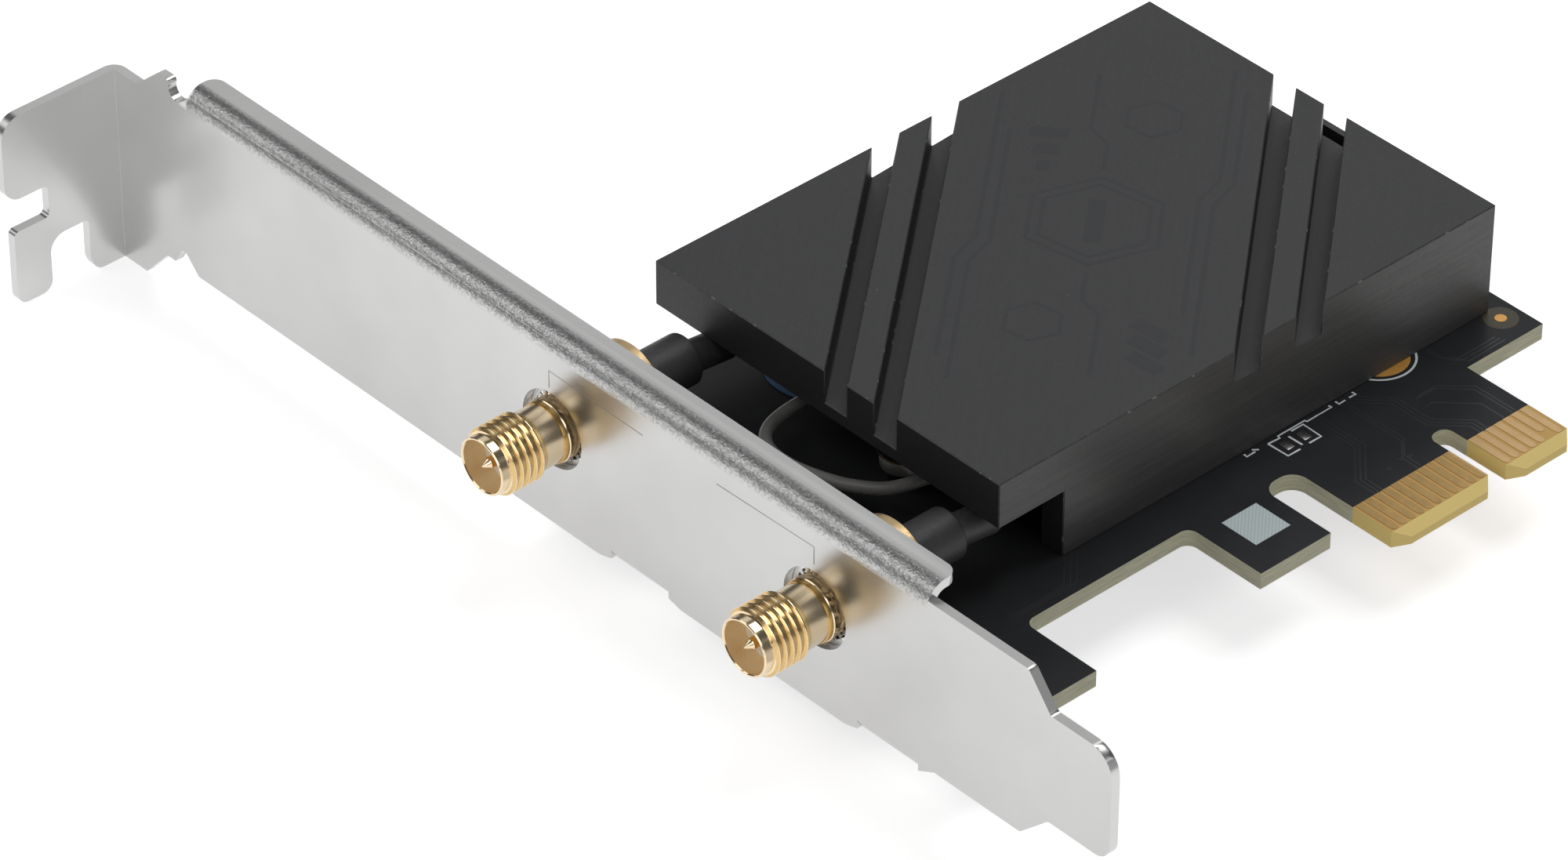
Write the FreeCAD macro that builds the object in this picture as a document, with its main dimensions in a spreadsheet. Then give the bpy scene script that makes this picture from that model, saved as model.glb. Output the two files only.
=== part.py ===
import FreeCAD, Part
import math
import os
import Sketcher

# A wireless network card for a desktop computer's expansion slot.
# X runs along the bracket towards its tongue, Y from the bracket's outer face into the computer, and Z
# out of the component side. The origin is on the bracket's outer face, midway between the two jacks,
# level with the top of the board.

SIZES = {
    # Bracket: folded sheet, its places along X and Z
    "sheet": 0.86,
    "bend_land": 0.3,
    "tab_outside": -71.79,
    "tongue_end": 48.23,
    "tab_low": -7.35,
    "tab_high": 11.85,
    "tab_zone": 3.8,
    "rise_run": 3.0,
    "body_low": -4.12,
    "body_high": 14.48,
    "lobe_width": 1.3,
    "relief_tip": 9.08,
    "relief_high": 12.7,
    "relief_low": -2.15,
    "lower_relief_start": 7.9,
    "lower_relief_end": 11.0,
    "flange_left": -61.4,
    "flange_right": 28.01,
    "flange_reach": 3.32,
    "flange_bend": 1.07,
    "flange_end_round": 1.2,
    "plain_top": 13.35,
    "shoulder_right": 39.11,
    "lower_shoulder_right": 38.61,
    "taper_right": 41.61,
    "lower_step": -2.85,
    "lower_step_left": 29.1,
    "tongue_high": 10.3,
    "tongue_top_round": 2.4,
    "tongue_low_round": 1.6,
    "corner_round": 0.5,
    "jack_hole_radius": 3.56,
    # Screw tab, across Y
    "tab_reach": 12.0,
    "lower_prong_reach": 11.35,
    "tab_bend": 0.45,
    "tab_round": 1.1,
    "tab_top_round": 2.0,
    "notch_low": 0.4,
    "notch_high": 3.6,
    "notch_depth": 4.4,
    "notch_mouth": 1.0,
    "lower_prong_end": -7.05,
    "slot_outer": 7.7,
    "slot_inner": 3.6,
    "slot_high": -1.8,
    "slot_round": 1.6,
    "flare_run": 0.75,
    "flare_rise": 1.2,
    # Board tabs, bent inwards from the bracket's lower edge, each with a tapped boss
    "board_tab_left": -5.04,
    "board_tab_right": 23.86,
    "board_tab_width": 6.9,
    "board_tab_notch": 1.5,
    "board_tab_low": -3.75,
    "board_tab_reach": 10.2,
    "board_tab_bend": 0.15,
    "board_tab_round": 1.2,
    "boss_radius": 2.4,
    "tap_radius": 1.25,
    "tap_clearance": 0.05,
    "board_screw_depth": 6.5,
    "board_screw_head_radius": 2.6,
    "board_screw_head_height": 1.6,
    "board_hole_radius": 1.6,
    # Board
    "board_thickness": 1.57,
    "board_front": 1.5,
    "board_left": -18.79,
    "leg_right": 31.01,
    "leg_back": 15.45,
    "waist": 22.91,
    "second_leg_front": 33.55,
    "second_leg_back": 41.4,
    "gap_right": 23.21,
    "contacts_front": 45.05,
    "key_front": 56.15,
    "key_back": 58.25,
    "key_end": 27.41,
    "contacts_back": 65.4,
    "mating_edge": 35.31,
    "far_right": 23.07,
    "far_edge": 74.4,
    "bevel_run": 1.1,
    "bevel_drop": 0.42,
    "inner_round": 1.0,
    "contact_corner": 1.15,
    "gap_round": 1.53,
    "key_round": 0.94,
    # Contact fingers, 1 mm pitch
    "finger_pitch": 1.0,
    "finger_width": 0.7,
    "finger_root": 29.91,
    "finger_tip": 34.15,
    "short_finger_tip": 33.15,
    "finger_thickness": 0.05,
    "first_finger": 45.65,
    "twelfth_finger": 58.65,
    # Heatsink block with four slanted slots
    "heatsink_left": -21.39,
    "heatsink_right": 18.91,
    "heatsink_front": 16.3,
    "heatsink_back": 72.3,
    "heatsink_top": 10.8,
    "ceiling": 6.44,
    "wall": 2.5,
    "left_wall_place": -18.39,
    "left_wall_front": 34.0,
    "right_wall_front": 23.45,
    "slot_floor": 7.7,
    "slot_fall": 1.181,
    "slot_width": 3.1,
    "first_slot": 40.2,
    "second_slot": 47.0,
    "third_slot": 89.75,
    "fourth_slot": 96.7,
    "post_radius": 1.65,
    "post_tap_radius": 0.85,
    "post_tap_depth": 4.5,
    "right_screw": 17.21,
    "left_screw": -14.8,
    "back_screw": 61.0,
    "front_screw": 38.0,
    "sink_screw_radius": 0.8,
    "sink_screw_length": 4.0,
    "sink_screw_head_radius": 1.9,
    "sink_screw_head_height": 1.2,
    "sink_hole_radius": 1.1,
    # Wireless module on its standoff, in its socket
    "module_middle": 3.31,
    "module_width": 22.0,
    "module_front": 20.9,
    "module_length": 30.0,
    "module_thickness": 0.8,
    "module_underside": 2.5,
    "module_notch_radius": 1.75,
    "shield_front": 26.3,
    "shield_back": 46.6,
    "shield_inset": 1.1,
    "shield_height": 1.6,
    "shield_round": 0.8,
    "shield_sheet": 0.15,
    "pad_inset": 1.5,
    "standoff_radius": 2.5,
    "standoff_neck_radius": 1.3,
    "standoff_tap_radius": 0.95,
    "module_screw_radius": 0.85,
    "module_screw_length": 2.6,
    "module_screw_head_radius": 2.3,
    "module_screw_head_height": 0.75,
    "socket_front": 47.4,
    "socket_back": 54.2,
    "socket_side": 0.45,
    "socket_height": 4.2,
    "socket_clearance": 0.05,
    "socket_foot_width": 0.3,
    "socket_foot_pitch": 1.2,
    "socket_foot_reach": 1.1,
    "socket_foot_height": 0.35,
    "socket_foot_inset": 1.9,
    # Coax jacks: radii, and places along their axis from the bracket's outer face
    "jack_right": 15.46,
    "jack_height": 5.28,
    "mouth": -7.4,
    "collar_radius": 2.51,
    "bore_radius": 2.3,
    "collar_end": -6.75,
    "thread_end": -2.75,
    "thread_radius": 3.0,
    "neck_radius": 2.61,
    "neck_end": -0.45,
    "shank_radius": 2.75,
    "insulator_face": -5.15,
    "pin_radius": 0.5,
    "pin_tip": -6.8,
    "pin_cone": 0.55,
    "rear_start": 1.15,
    "rear_radius": 2.97,
    "rear_collar": 6.9,
    "rear_collar_radius": 4.15,
    "rear_collar_end": 8.6,
    "crimp_radius": 1.6,
    "crimp_end": 12.9,
    "foot_width": 6.2,
    "foot_front": 3.6,
    "leg_radius": 0.5,
    "leg_hole_radius": 0.62,
    "leg_spread": 2.2,
    "front_leg": 4.7,
    "back_leg": 7.4,
    "leg_below": 0.8,
    "boot_radius": 2.2,
    "boot_bore": 1.68,
    "boot_end": 14.2,
    "cover_radius": 1.42,
    "cover_bore": 0.7,
    "cover_start": 13.5,
    "cover_end": 18.6,
    "lead_radius": 0.57,
    "lead_gap": 0.08,
    "lead_start": 13.05,
    # Coax plugs on the module
    "first_plug_across": 9.9,
    "first_plug_along": 22.5,
    "second_plug_across": 12.4,
    "second_plug_along": 24.6,
    "plug_radius": 1.3,
    "plug_height": 1.25,
    "plug_axis": 0.76,
    "plug_barrel_radius": 0.7,
    "plug_barrel_length": 2.2,
    # Header on the far edge
    "header_left": -4.99,
    "header_width": 14.0,
    "header_front": 72.7,
    "header_depth": 3.8,
    "header_height": 5.4,
    "header_wall": 0.6,
    "header_floor": 1.2,
    "header_tab_left": -6.3,
    "header_tab_right": 10.7,
    "header_tab_back": 77.3,
    "header_pitch": 2.5,
    "header_pin_width": 0.6,
    "header_pin_top": 4.5,
    "header_pin_below": 1.0,
    "header_pin_hole": 0.5,
    # Small parts on the board, under the heatsink
    "small_part_gap": 0.5,
    "sticker_radius": 5.3,
    "sticker_thickness": 0.1,
    "sticker_across": -12.49,
    "sticker_along": 26.9,
    "coil_side": 5.2,
    "coil_height": 3.0,
    "coil_round": 0.9,
    "coil_across": 9.6,
    "chip_length": 4.0,
    "chip_width": 3.0,
    "chip_height": 1.0,
    "chip_across": 1.2,
    "cap_length": 2.0,
    "cap_width": 1.25,
    "cap_height": 1.2,
    "cap_across": -8.2,
    "cap_spacing": 2.6,
}

TOUCH = 1e-4
SOCKET_FEET = 16
FIRST_PLUG_HEADING = -133
SECOND_PLUG_HEADING = -55


class Size:
    """A length: its value in millimetres, and the formula that the document keeps for it."""

    def __init__(self, value, formula):
        self.value = value
        self.formula = formula

    def __add__(self, other):
        other = as_size(other)
        return Size(self.value + other.value, f"({self.formula} + {other.formula})")

    def __sub__(self, other):
        other = as_size(other)
        return Size(self.value - other.value, f"({self.formula} - {other.formula})")

    def __mul__(self, other):
        other = as_size(other)
        return Size(self.value * other.value, f"({self.formula} * {other.formula})")

    def __truediv__(self, other):
        other = as_size(other)
        return Size(self.value / other.value, f"({self.formula} / {other.formula})")

    def __neg__(self):
        return Size(-self.value, f"(0 - {self.formula})")


def as_size(number):
    return number if isinstance(number, Size) else Size(number, repr(number))


class Sizes:
    """The spreadsheet's cells, read by name."""


def fill_sheet(document):
    cells = document.addObject("Spreadsheet::Sheet", "Sizes")
    sizes = Sizes()
    for row, (name, value) in enumerate(SIZES.items(), 1):
        cells.set(f"A{row}", name)
        cells.set(f"B{row}", str(value))
        cells.setAlias(f"B{row}", name)
        setattr(sizes, name, Size(value, f"<<Sizes>>.{name}"))
    document.recompute()
    return sizes


doc = FreeCAD.newDocument("wifi_card")
s = fill_sheet(doc)
ZERO = Size(0, "0")
nodes = []


# Helpers that build and bind objects

def bind(thing, prop, size):
    thing.setExpression(prop, as_size(size).formula)


def place(thing, x=None, y=None, z=None):
    for axis, size in zip("xyz", (x, y, z)):
        if size is not None:
            bind(thing, f".Placement.Base.{axis}", size)


def keep(thing, label):
    thing.Label = label
    nodes.append(thing)
    return thing


def new_body(label):
    return keep(doc.addObject("PartDesign::Body", "Body"), label)


def origin_part(body, role):
    return next(part for part in body.Origin.OriginFeatures if part.Role == role)


def new_sketch(body, role, offset=None):
    sketch = body.newObject("Sketcher::SketchObject", "Sketch")
    sketch.AttachmentSupport = [(origin_part(body, role), "")]
    sketch.MapMode = "FlatFace"
    if offset is not None:
        bind(sketch, "AttachmentOffset.Base.z", offset)
    return sketch


def fix(sketch, kind, geometry, vertex, size):
    index = sketch.addConstraint(Sketcher.Constraint(kind, -1, 1, geometry, vertex, size.value))
    bind(sketch, f"Constraints[{index}]", size)


def outline(sketch, corners):
    """Closed loop of straight lines whose corners are all bound to sizes."""
    corners = [(as_size(a), as_size(b)) for a, b in corners]
    points = [FreeCAD.Vector(a.value, b.value, 0) for a, b in corners]
    first = sketch.GeometryCount
    count = len(points)
    for i in range(count):
        sketch.addGeometry(Part.LineSegment(points[i], points[(i + 1) % count]), False)
    for i in range(count):
        sketch.addConstraint(Sketcher.Constraint("Coincident", first + i, 2, first + (i + 1) % count, 1))
        fix(sketch, "DistanceX", first + i, 1, corners[i][0])
        fix(sketch, "DistanceY", first + i, 1, corners[i][1])
    return sketch


def rectangle(sketch, left, right, low, high):
    return outline(sketch, [(left, low), (right, low), (right, high), (left, high)])


def circle(sketch, across, up, radius):
    across, up = as_size(across), as_size(up)
    centre = FreeCAD.Vector(across.value, up.value, 0)
    index = sketch.addGeometry(Part.Circle(centre, FreeCAD.Vector(0, 0, 1), radius.value), False)
    fix(sketch, "DistanceX", index, 3, across)
    fix(sketch, "DistanceY", index, 3, up)
    round_size = sketch.addConstraint(Sketcher.Constraint("Radius", index, radius.value))
    bind(sketch, f"Constraints[{round_size}]", radius)
    return sketch


def pad(body, sketch, length, reverse=False):
    feature = body.newObject("PartDesign::Pad", "Pad")
    feature.Profile = sketch
    feature.Reversed = reverse
    bind(feature, "Length", length)
    doc.recompute()
    return feature


def cut_through(body, sketch):
    """Pocket that runs right through, both ways from its sketch."""
    before = body.Shape.Volume
    feature = body.newObject("PartDesign::Pocket", "Pocket")
    feature.Profile = sketch
    feature.SideType = "Symmetric"
    feature.Type = "ThroughAll"
    doc.recompute()
    check_cut(feature, before)
    return feature


def cut_deep(body, sketch, depth, reverse=False):
    before = body.Shape.Volume
    feature = body.newObject("PartDesign::Pocket", "Pocket")
    feature.Profile = sketch
    feature.Reversed = reverse
    bind(feature, "Length", depth)
    doc.recompute()
    check_cut(feature, before)
    return feature


def check_cut(feature, before):
    if feature.Shape.Volume > before - TOUCH:
        raise RuntimeError(f"{feature.Label} cuts nothing")


def turn(body, profile):
    """Solid of revolution round the body's Z axis, from (radius, height) corners."""
    sketch = outline(new_sketch(body, "XZ_Plane"), profile)
    feature = body.newObject("PartDesign::Revolution", "Revolution")
    feature.Profile = sketch
    feature.ReferenceAxis = (origin_part(body, "Z_Axis"), [""])
    feature.Angle = 360
    doc.recompute()
    return feature


PLANE_AXES = {"XY_Plane": (0, 1), "XZ_Plane": (0, 2), "YZ_Plane": (1, 2)}


def edges_at(feature, role, corners):
    """Names of the straight edges that stand on these corners, at right angles to the plane."""
    across, up = PLANE_AXES[role]
    names = []
    for index, edge in enumerate(feature.Shape.Edges, 1):
        ends = [vertex.Point for vertex in edge.Vertexes]
        for a, b in corners:
            a, b = as_size(a), as_size(b)
            hits = [abs(p[across] - a.value) < TOUCH and abs(p[up] - b.value) < TOUCH for p in ends]
            if len(ends) == 2 and all(hits):
                names.append(f"Edge{index}")
    if not names:
        raise RuntimeError(f"no edge of {feature.Label} at these corners")
    return names


def round_edges(body, names, radius):
    base = body.Tip
    feature = body.newObject("PartDesign::Fillet", "Fillet")
    feature.Base = (base, names)
    bind(feature, "Radius", radius)
    doc.recompute()
    return feature


def round_corners(body, role, corners, radius):
    return round_edges(body, edges_at(body.Tip, role, corners), radius)


def block(label, left, front, low, length, depth, height):
    box = doc.addObject("Part::Box", "Box")
    bind(box, "Length", length)
    bind(box, "Width", depth)
    bind(box, "Height", height)
    place(box, left, front, low)
    return keep(box, label) if label else box


def cylinder(radius, height, x=None, y=None, z=None):
    solid = doc.addObject("Part::Cylinder", "Cylinder")
    bind(solid, "Radius", radius)
    bind(solid, "Height", height)
    place(solid, x, y, z)
    return solid


def cut(base, tool, label=None):
    solid = doc.addObject("Part::Cut", "Cut")
    solid.Base = base
    solid.Tool = tool
    return keep(solid, label) if label else solid


def joined(pieces, label=None):
    solid = doc.addObject("Part::MultiFuse", "Fusion")
    solid.Shapes = pieces
    return keep(solid, label) if label else solid


# Bracket

def make_bracket():
    body = new_body("bracket")
    body.AllowCompound = True
    make_flange(body)
    make_screw_tab(body)
    make_board_tabs(body)
    make_bracket_face(body)
    make_bosses(body)
    holes = new_sketch(body, "XZ_Plane")
    for side in (-1, 1):
        circle(holes, s.jack_right * side, s.jack_height, s.jack_hole_radius)
    cut_through(body, holes)


def make_bend(body, role, start, length, profile, inner, outer, radius):
    """Strip with an angled section, its bend rounded inside and outside."""
    pad(body, outline(new_sketch(body, role, start), profile), length)
    round_corners(body, role, [inner], radius)
    round_corners(body, role, [outer], radius + s.sheet)


def make_flange(body):
    """Long stiffening flange, bent inwards along the upper edge."""
    low = s.body_high - s.sheet
    foot = low - s.flange_bend - s.bend_land
    inner = (s.sheet, low)
    outer = (ZERO, s.body_high)
    profile = [
        (ZERO, foot), (s.sheet, foot), inner, (s.flange_reach, low), (s.flange_reach, s.body_high), outer,
    ]
    length = s.flange_right - s.flange_left
    make_bend(body, "YZ_Plane", s.flange_left, length, profile, inner, outer, s.flange_bend)
    ends = [(s.flange_left, s.flange_reach), (s.flange_right, s.flange_reach)]
    round_corners(body, "XY_Plane", ends, s.flange_end_round)


def make_screw_tab(body):
    """Tab bent outwards, with the notch for the computer's screw and a lower cut-out."""
    inside = s.tab_outside + s.sheet
    foot = inside + s.tab_bend + s.bend_land
    inner = (inside, ZERO)
    outer = (s.tab_outside, s.sheet)
    profile = [
        (s.tab_outside, -s.tab_reach), (inside, -s.tab_reach), inner, (foot, ZERO), (foot, s.sheet), outer,
    ]
    make_bend(body, "XY_Plane", s.tab_low, s.tab_high - s.tab_low, profile, inner, outer, s.tab_bend)
    end = -s.tab_reach
    beyond = end - s.tab_round
    under = s.tab_low - s.tab_round
    notch = [(end + s.notch_depth, s.notch_high), (end + s.notch_depth, s.notch_low)]
    prong = [(-s.lower_prong_reach, s.notch_low), (-s.lower_prong_reach, s.lower_prong_end)]
    slot = [
        (-s.slot_outer, s.lower_prong_end),
        (-s.slot_outer, s.slot_high),
        (-s.slot_inner, s.slot_high),
        (-s.slot_inner, s.tab_low + s.flare_rise),
        (s.flare_run - s.slot_inner, s.tab_low),
        (s.flare_run - s.slot_inner, under),
    ]
    mouth = [(beyond, s.notch_high + s.notch_mouth + s.tab_round), (end + s.notch_mouth, s.notch_high)]
    openings = outline(new_sketch(body, "YZ_Plane", inside), mouth + notch + prong + slot + [(beyond, under)])
    cut_deep(body, openings, s.sheet)
    round_corners(body, "YZ_Plane", [(end, s.tab_high)], s.tab_top_round)
    round_corners(body, "YZ_Plane", [prong[1], slot[0]], s.tab_round)
    round_corners(body, "YZ_Plane", [slot[1]], s.slot_round)
    round_corners(body, "YZ_Plane", notch + [prong[0], slot[2]], s.corner_round)


def board_tab_centres():
    return (s.board_tab_left, s.board_tab_right)


def make_board_tabs(body):
    """Two tabs bent inwards under the board."""
    top = s.board_tab_low + s.sheet
    foot = top + s.board_tab_bend + s.bend_land
    half = s.board_tab_width / 2
    inner = (s.sheet, top)
    outer = (ZERO, s.board_tab_low)
    reach = s.board_tab_reach
    profile = [(ZERO, foot), (s.sheet, foot), inner, (reach, top), (reach, s.board_tab_low), outer]
    for centre in board_tab_centres():
        left = centre - half
        make_bend(body, "YZ_Plane", left, s.board_tab_width, profile, inner, outer, s.board_tab_bend)
        corners = [(left, reach), (centre + half, reach)]
        round_corners(body, "XY_Plane", corners, s.board_tab_round)


def make_bosses(body):
    """Bosses on the board tabs, tapped for the screws that come down through the board."""
    top = s.board_tab_low + s.sheet
    bosses = new_sketch(body, "XY_Plane", top)
    taps = new_sketch(body, "XY_Plane", -s.board_thickness)
    for centre in board_tab_centres():
        circle(bosses, centre, s.board_screw_depth, s.boss_radius)
        circle(taps, centre, s.board_screw_depth, s.tap_radius)
    pad(body, bosses, -s.board_thickness - top)
    cut_deep(body, taps, -s.board_thickness - s.board_tab_low)


def make_bracket_face(body):
    """Flat face of the bracket, down to its bends, with the narrow tongue at its end."""
    tab_foot = s.tab_outside + s.sheet + s.tab_bend + s.bend_land
    flange_foot = s.body_high - s.sheet - s.flange_bend - s.bend_land
    board_tab_foot = s.board_tab_low + s.sheet + s.board_tab_bend + s.bend_land
    zone_end = s.tab_outside + s.tab_zone
    rise_end = zone_end + s.rise_run
    tip = s.tab_outside + s.relief_tip
    half = s.board_tab_width / 2
    upper = [
        (tab_foot, s.tab_low),
        (tab_foot, s.tab_high),
        (zone_end, s.tab_high),
        (rise_end, s.body_high),
        (rise_end + s.lobe_width, s.body_high),
        (tip, s.relief_high),
        (s.flange_left, flange_foot),
        (s.flange_right, flange_foot),
        (s.flange_right, s.plain_top),
        (s.shoulder_right, s.plain_top),
        (s.taper_right, s.tongue_high),
        (s.tongue_end, s.tongue_high),
        (s.tongue_end, ZERO),
        (s.taper_right, ZERO),
        (s.lower_shoulder_right, s.lower_step),
        (s.lower_step_left, s.lower_step),
    ]
    recesses = []
    for centre, beside in ((s.board_tab_right, None), (s.board_tab_left, s.board_tab_notch)):
        if beside is not None:
            recesses.append((centre + half + beside, s.body_low))
        recesses += [
            (centre + half, s.board_tab_low),
            (centre + half, board_tab_foot),
            (centre - half, board_tab_foot),
            (centre - half, s.board_tab_low),
            (centre - half - s.board_tab_notch, s.body_low),
        ]
    lower_left = [
        (s.tab_outside + s.lower_relief_end, s.body_low),
        (tip, s.relief_low),
        (s.tab_outside + s.lower_relief_start, s.body_low),
        (rise_end, s.body_low),
        (zone_end, s.tab_low),
    ]
    face = outline(new_sketch(body, "XZ_Plane"), upper + recesses + lower_left)
    pad(body, face, s.sheet, reverse=True)
    round_corners(body, "XZ_Plane", [(s.tongue_end, s.tongue_high)], s.tongue_top_round)
    round_corners(body, "XZ_Plane", [(s.tongue_end, ZERO)], s.tongue_low_round)
    rounded = [upper[i] for i in (3, 4, 5, 9, 10, 13, 14)] + [lower_left[1]]
    round_corners(body, "XZ_Plane", rounded, s.corner_round)


# Board and its contacts

def header_pin_places():
    middle = s.header_left + s.header_width / 2
    return [middle + s.header_pitch * step for step in (-2, -1, 0, 1, 2)]


def heatsink_screw_places():
    return [(s.right_screw, s.back_screw), (s.left_screw, s.back_screw), (s.left_screw, s.front_screw)]


def jack_leg_places():
    return [(side, along) for side in (-s.leg_spread, s.leg_spread) for along in (s.front_leg, s.back_leg)]


def make_board():
    body = new_body("board")
    shape = [
        (s.board_left, s.board_front),
        (s.leg_right, s.board_front),
        (s.leg_right, s.leg_back),
        (s.waist, s.leg_back),
        (s.waist, s.second_leg_front),
        (s.leg_right, s.second_leg_front),
        (s.leg_right, s.second_leg_back),
        (s.gap_right, s.second_leg_back),
        (s.gap_right, s.contacts_front),
        (s.mating_edge, s.contacts_front),
        (s.mating_edge, s.key_front),
        (s.key_end, s.key_front),
        (s.key_end, s.key_back),
        (s.mating_edge, s.key_back),
        (s.mating_edge, s.contacts_back),
        (s.far_right, s.contacts_back),
        (s.far_right, s.far_edge),
        (s.header_tab_right, s.far_edge),
        (s.header_tab_right, s.header_tab_back),
        (s.header_tab_left, s.header_tab_back),
        (s.header_tab_left, s.far_edge),
        (s.board_left, s.far_edge),
    ]
    sketch = outline(new_sketch(body, "XY_Plane"), shape)
    pad(body, sketch, s.board_thickness, reverse=True)
    round_corners(body, "XY_Plane", [shape[i] for i in (3, 4)], s.inner_round)
    round_corners(body, "XY_Plane", [shape[i] for i in (7, 8)], s.gap_round)
    round_corners(body, "XY_Plane", [shape[i] for i in (11, 12)], s.key_round)
    base = body.Tip
    corners = body.newObject("PartDesign::Chamfer", "Chamfer")
    corners.Base = (base, edges_at(base, "XY_Plane", [shape[i] for i in (9, 10, 13, 14)]))
    bind(corners, "Size", s.contact_corner)
    doc.recompute()
    cut_bevels(body)
    cut_board_holes(body)


def cut_bevels(body):
    """Bevel both faces of the mating edge, so that the card enters its slot."""
    low = -s.board_thickness
    start = s.mating_edge - s.bevel_run
    bevels = new_sketch(body, "XZ_Plane")
    outline(bevels, [(start, ZERO), (s.mating_edge, -s.bevel_drop), (s.mating_edge, ZERO)])
    outline(bevels, [(start, low), (s.mating_edge, low), (s.mating_edge, low + s.bevel_drop)])
    cut_through(body, bevels)


def cut_board_holes(body):
    holes = new_sketch(body, "XY_Plane")
    for centre in (s.board_tab_left, s.board_tab_right):
        circle(holes, centre, s.board_screw_depth, s.board_hole_radius)
    for across, along in heatsink_screw_places():
        circle(holes, across, along, s.sink_hole_radius)
    for across in header_pin_places():
        circle(holes, across, s.header_front + s.header_depth / 2, s.header_pin_hole)
    for across in (-s.jack_right, s.jack_right):
        for side, along in jack_leg_places():
            circle(holes, across + side, along, s.leg_hole_radius)
    cut_through(body, holes)


def finger_place(number):
    if number < 12:
        return s.first_finger + s.finger_pitch * (number - 1)
    return s.twelfth_finger + s.finger_pitch * (number - 12)


def make_contacts(label, height, runs, short_number):
    """Gold fingers on one face of the board: runs of equal ones, and the short one that touches last."""
    body = new_body(label)
    body.AllowCompound = True
    full = [(number, count, s.finger_tip) for number, count in runs]
    for number, count, end in full + [(short_number, 1, s.short_finger_tip)]:
        middle = finger_place(number)
        half = s.finger_width / 2
        shoulder = end - half
        finger = outline(new_sketch(body, "XY_Plane", height), [
            (s.finger_root, middle - half),
            (shoulder, middle - half),
            (end, middle - half / 2),
            (end, middle + half / 2),
            (shoulder, middle + half),
            (s.finger_root, middle + half),
        ])
        original = pad(body, finger, s.finger_thickness)
        if count > 1:
            repeat(body, original, s.finger_pitch, count)


def repeat(body, original, pitch, count):
    """Row of like features along Y."""
    row = body.newObject("PartDesign::LinearPattern", "LinearPattern")
    row.Originals = [original]
    row.Direction = (origin_part(body, "Y_Axis"), [""])
    row.Occurrences = count
    bind(row, "Length", pitch * (count - 1))
    body.Tip = row
    doc.recompute()


# Heatsink

def make_heatsink():
    body = new_body("heatsink")
    plate = new_sketch(body, "XY_Plane", s.ceiling)
    rectangle(plate, s.heatsink_left, s.heatsink_right, s.heatsink_front, s.heatsink_back)
    pad(body, plate, s.heatsink_top - s.ceiling)
    inner_back = s.heatsink_back - s.wall
    inner_right = s.heatsink_right - s.wall
    inner_left = s.left_wall_place + s.wall
    walls = outline(new_sketch(body, "XY_Plane"), [
        (s.heatsink_right, s.right_wall_front),
        (s.heatsink_right, s.heatsink_back),
        (s.left_wall_place, s.heatsink_back),
        (s.left_wall_place, s.left_wall_front),
        (inner_left, s.left_wall_front),
        (inner_left, inner_back),
        (inner_right, inner_back),
        (inner_right, s.right_wall_front),
    ])
    pad(body, walls, s.ceiling)
    posts = new_sketch(body, "XY_Plane")
    for across, along in heatsink_screw_places():
        circle(posts, across, along, s.post_radius)
    pad(body, posts, s.ceiling)
    taps = new_sketch(body, "XY_Plane")
    for across, along in heatsink_screw_places():
        circle(taps, across, along, s.post_tap_radius)
    cut_deep(body, taps, s.post_tap_depth, reverse=True)
    cut_slots(body)


def cut_slots(body):
    """Four slanted slots, open at both ends: two over the front corner, two over the back one."""
    left = s.heatsink_left - s.wall
    right = s.heatsink_right + s.wall
    slots = new_sketch(body, "XY_Plane", s.heatsink_top)
    for start in (s.first_slot, s.second_slot, s.third_slot, s.fourth_slot):
        near = start + s.slot_fall * s.wall
        far = start - s.slot_fall * (right - s.heatsink_left)
        outline(slots, [(left, near), (right, far), (right, far + s.slot_width), (left, near + s.slot_width)])
    cut_deep(body, slots, s.heatsink_top - s.slot_floor)


# Screws

def make_screw(label, across, along, seat, head_radius, head_height, radius, length, upwards):
    """Pan head screw whose head seats at a height, its shank pointing down, or up for one from below."""
    body = new_body(label)
    sign = -1 if upwards else 1
    turn(body, [
        (ZERO, -length * sign),
        (radius, -length * sign),
        (radius, ZERO),
        (head_radius, ZERO),
        (head_radius, head_height * sign / 2),
        (head_radius - head_height / 2, head_height * sign),
        (ZERO, head_height * sign),
    ])
    place(body, across, along, seat)


def make_screws():
    shank = s.tap_radius - s.tap_clearance
    for number, across in enumerate((s.board_tab_left, s.board_tab_right), 1):
        make_screw(f"bracket_screw_{number}", across, s.board_screw_depth, ZERO, s.board_screw_head_radius,
                   s.board_screw_head_height, shank, -s.board_tab_low, upwards=False)
    for number, (across, along) in enumerate(heatsink_screw_places(), 1):
        make_screw(f"heatsink_screw_{number}", across, along, -s.board_thickness, s.sink_screw_head_radius,
                   s.sink_screw_head_height, s.sink_screw_radius, s.sink_screw_length, upwards=True)
    module_top = s.module_underside + s.module_thickness
    make_screw("module_screw", s.module_middle, s.module_front, module_top,
               s.module_screw_head_radius, s.module_screw_head_height, s.module_screw_radius,
               s.module_screw_length, upwards=False)


# Wireless module, its standoff and its socket

def module_left():
    return s.module_middle - s.module_width / 2


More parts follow.
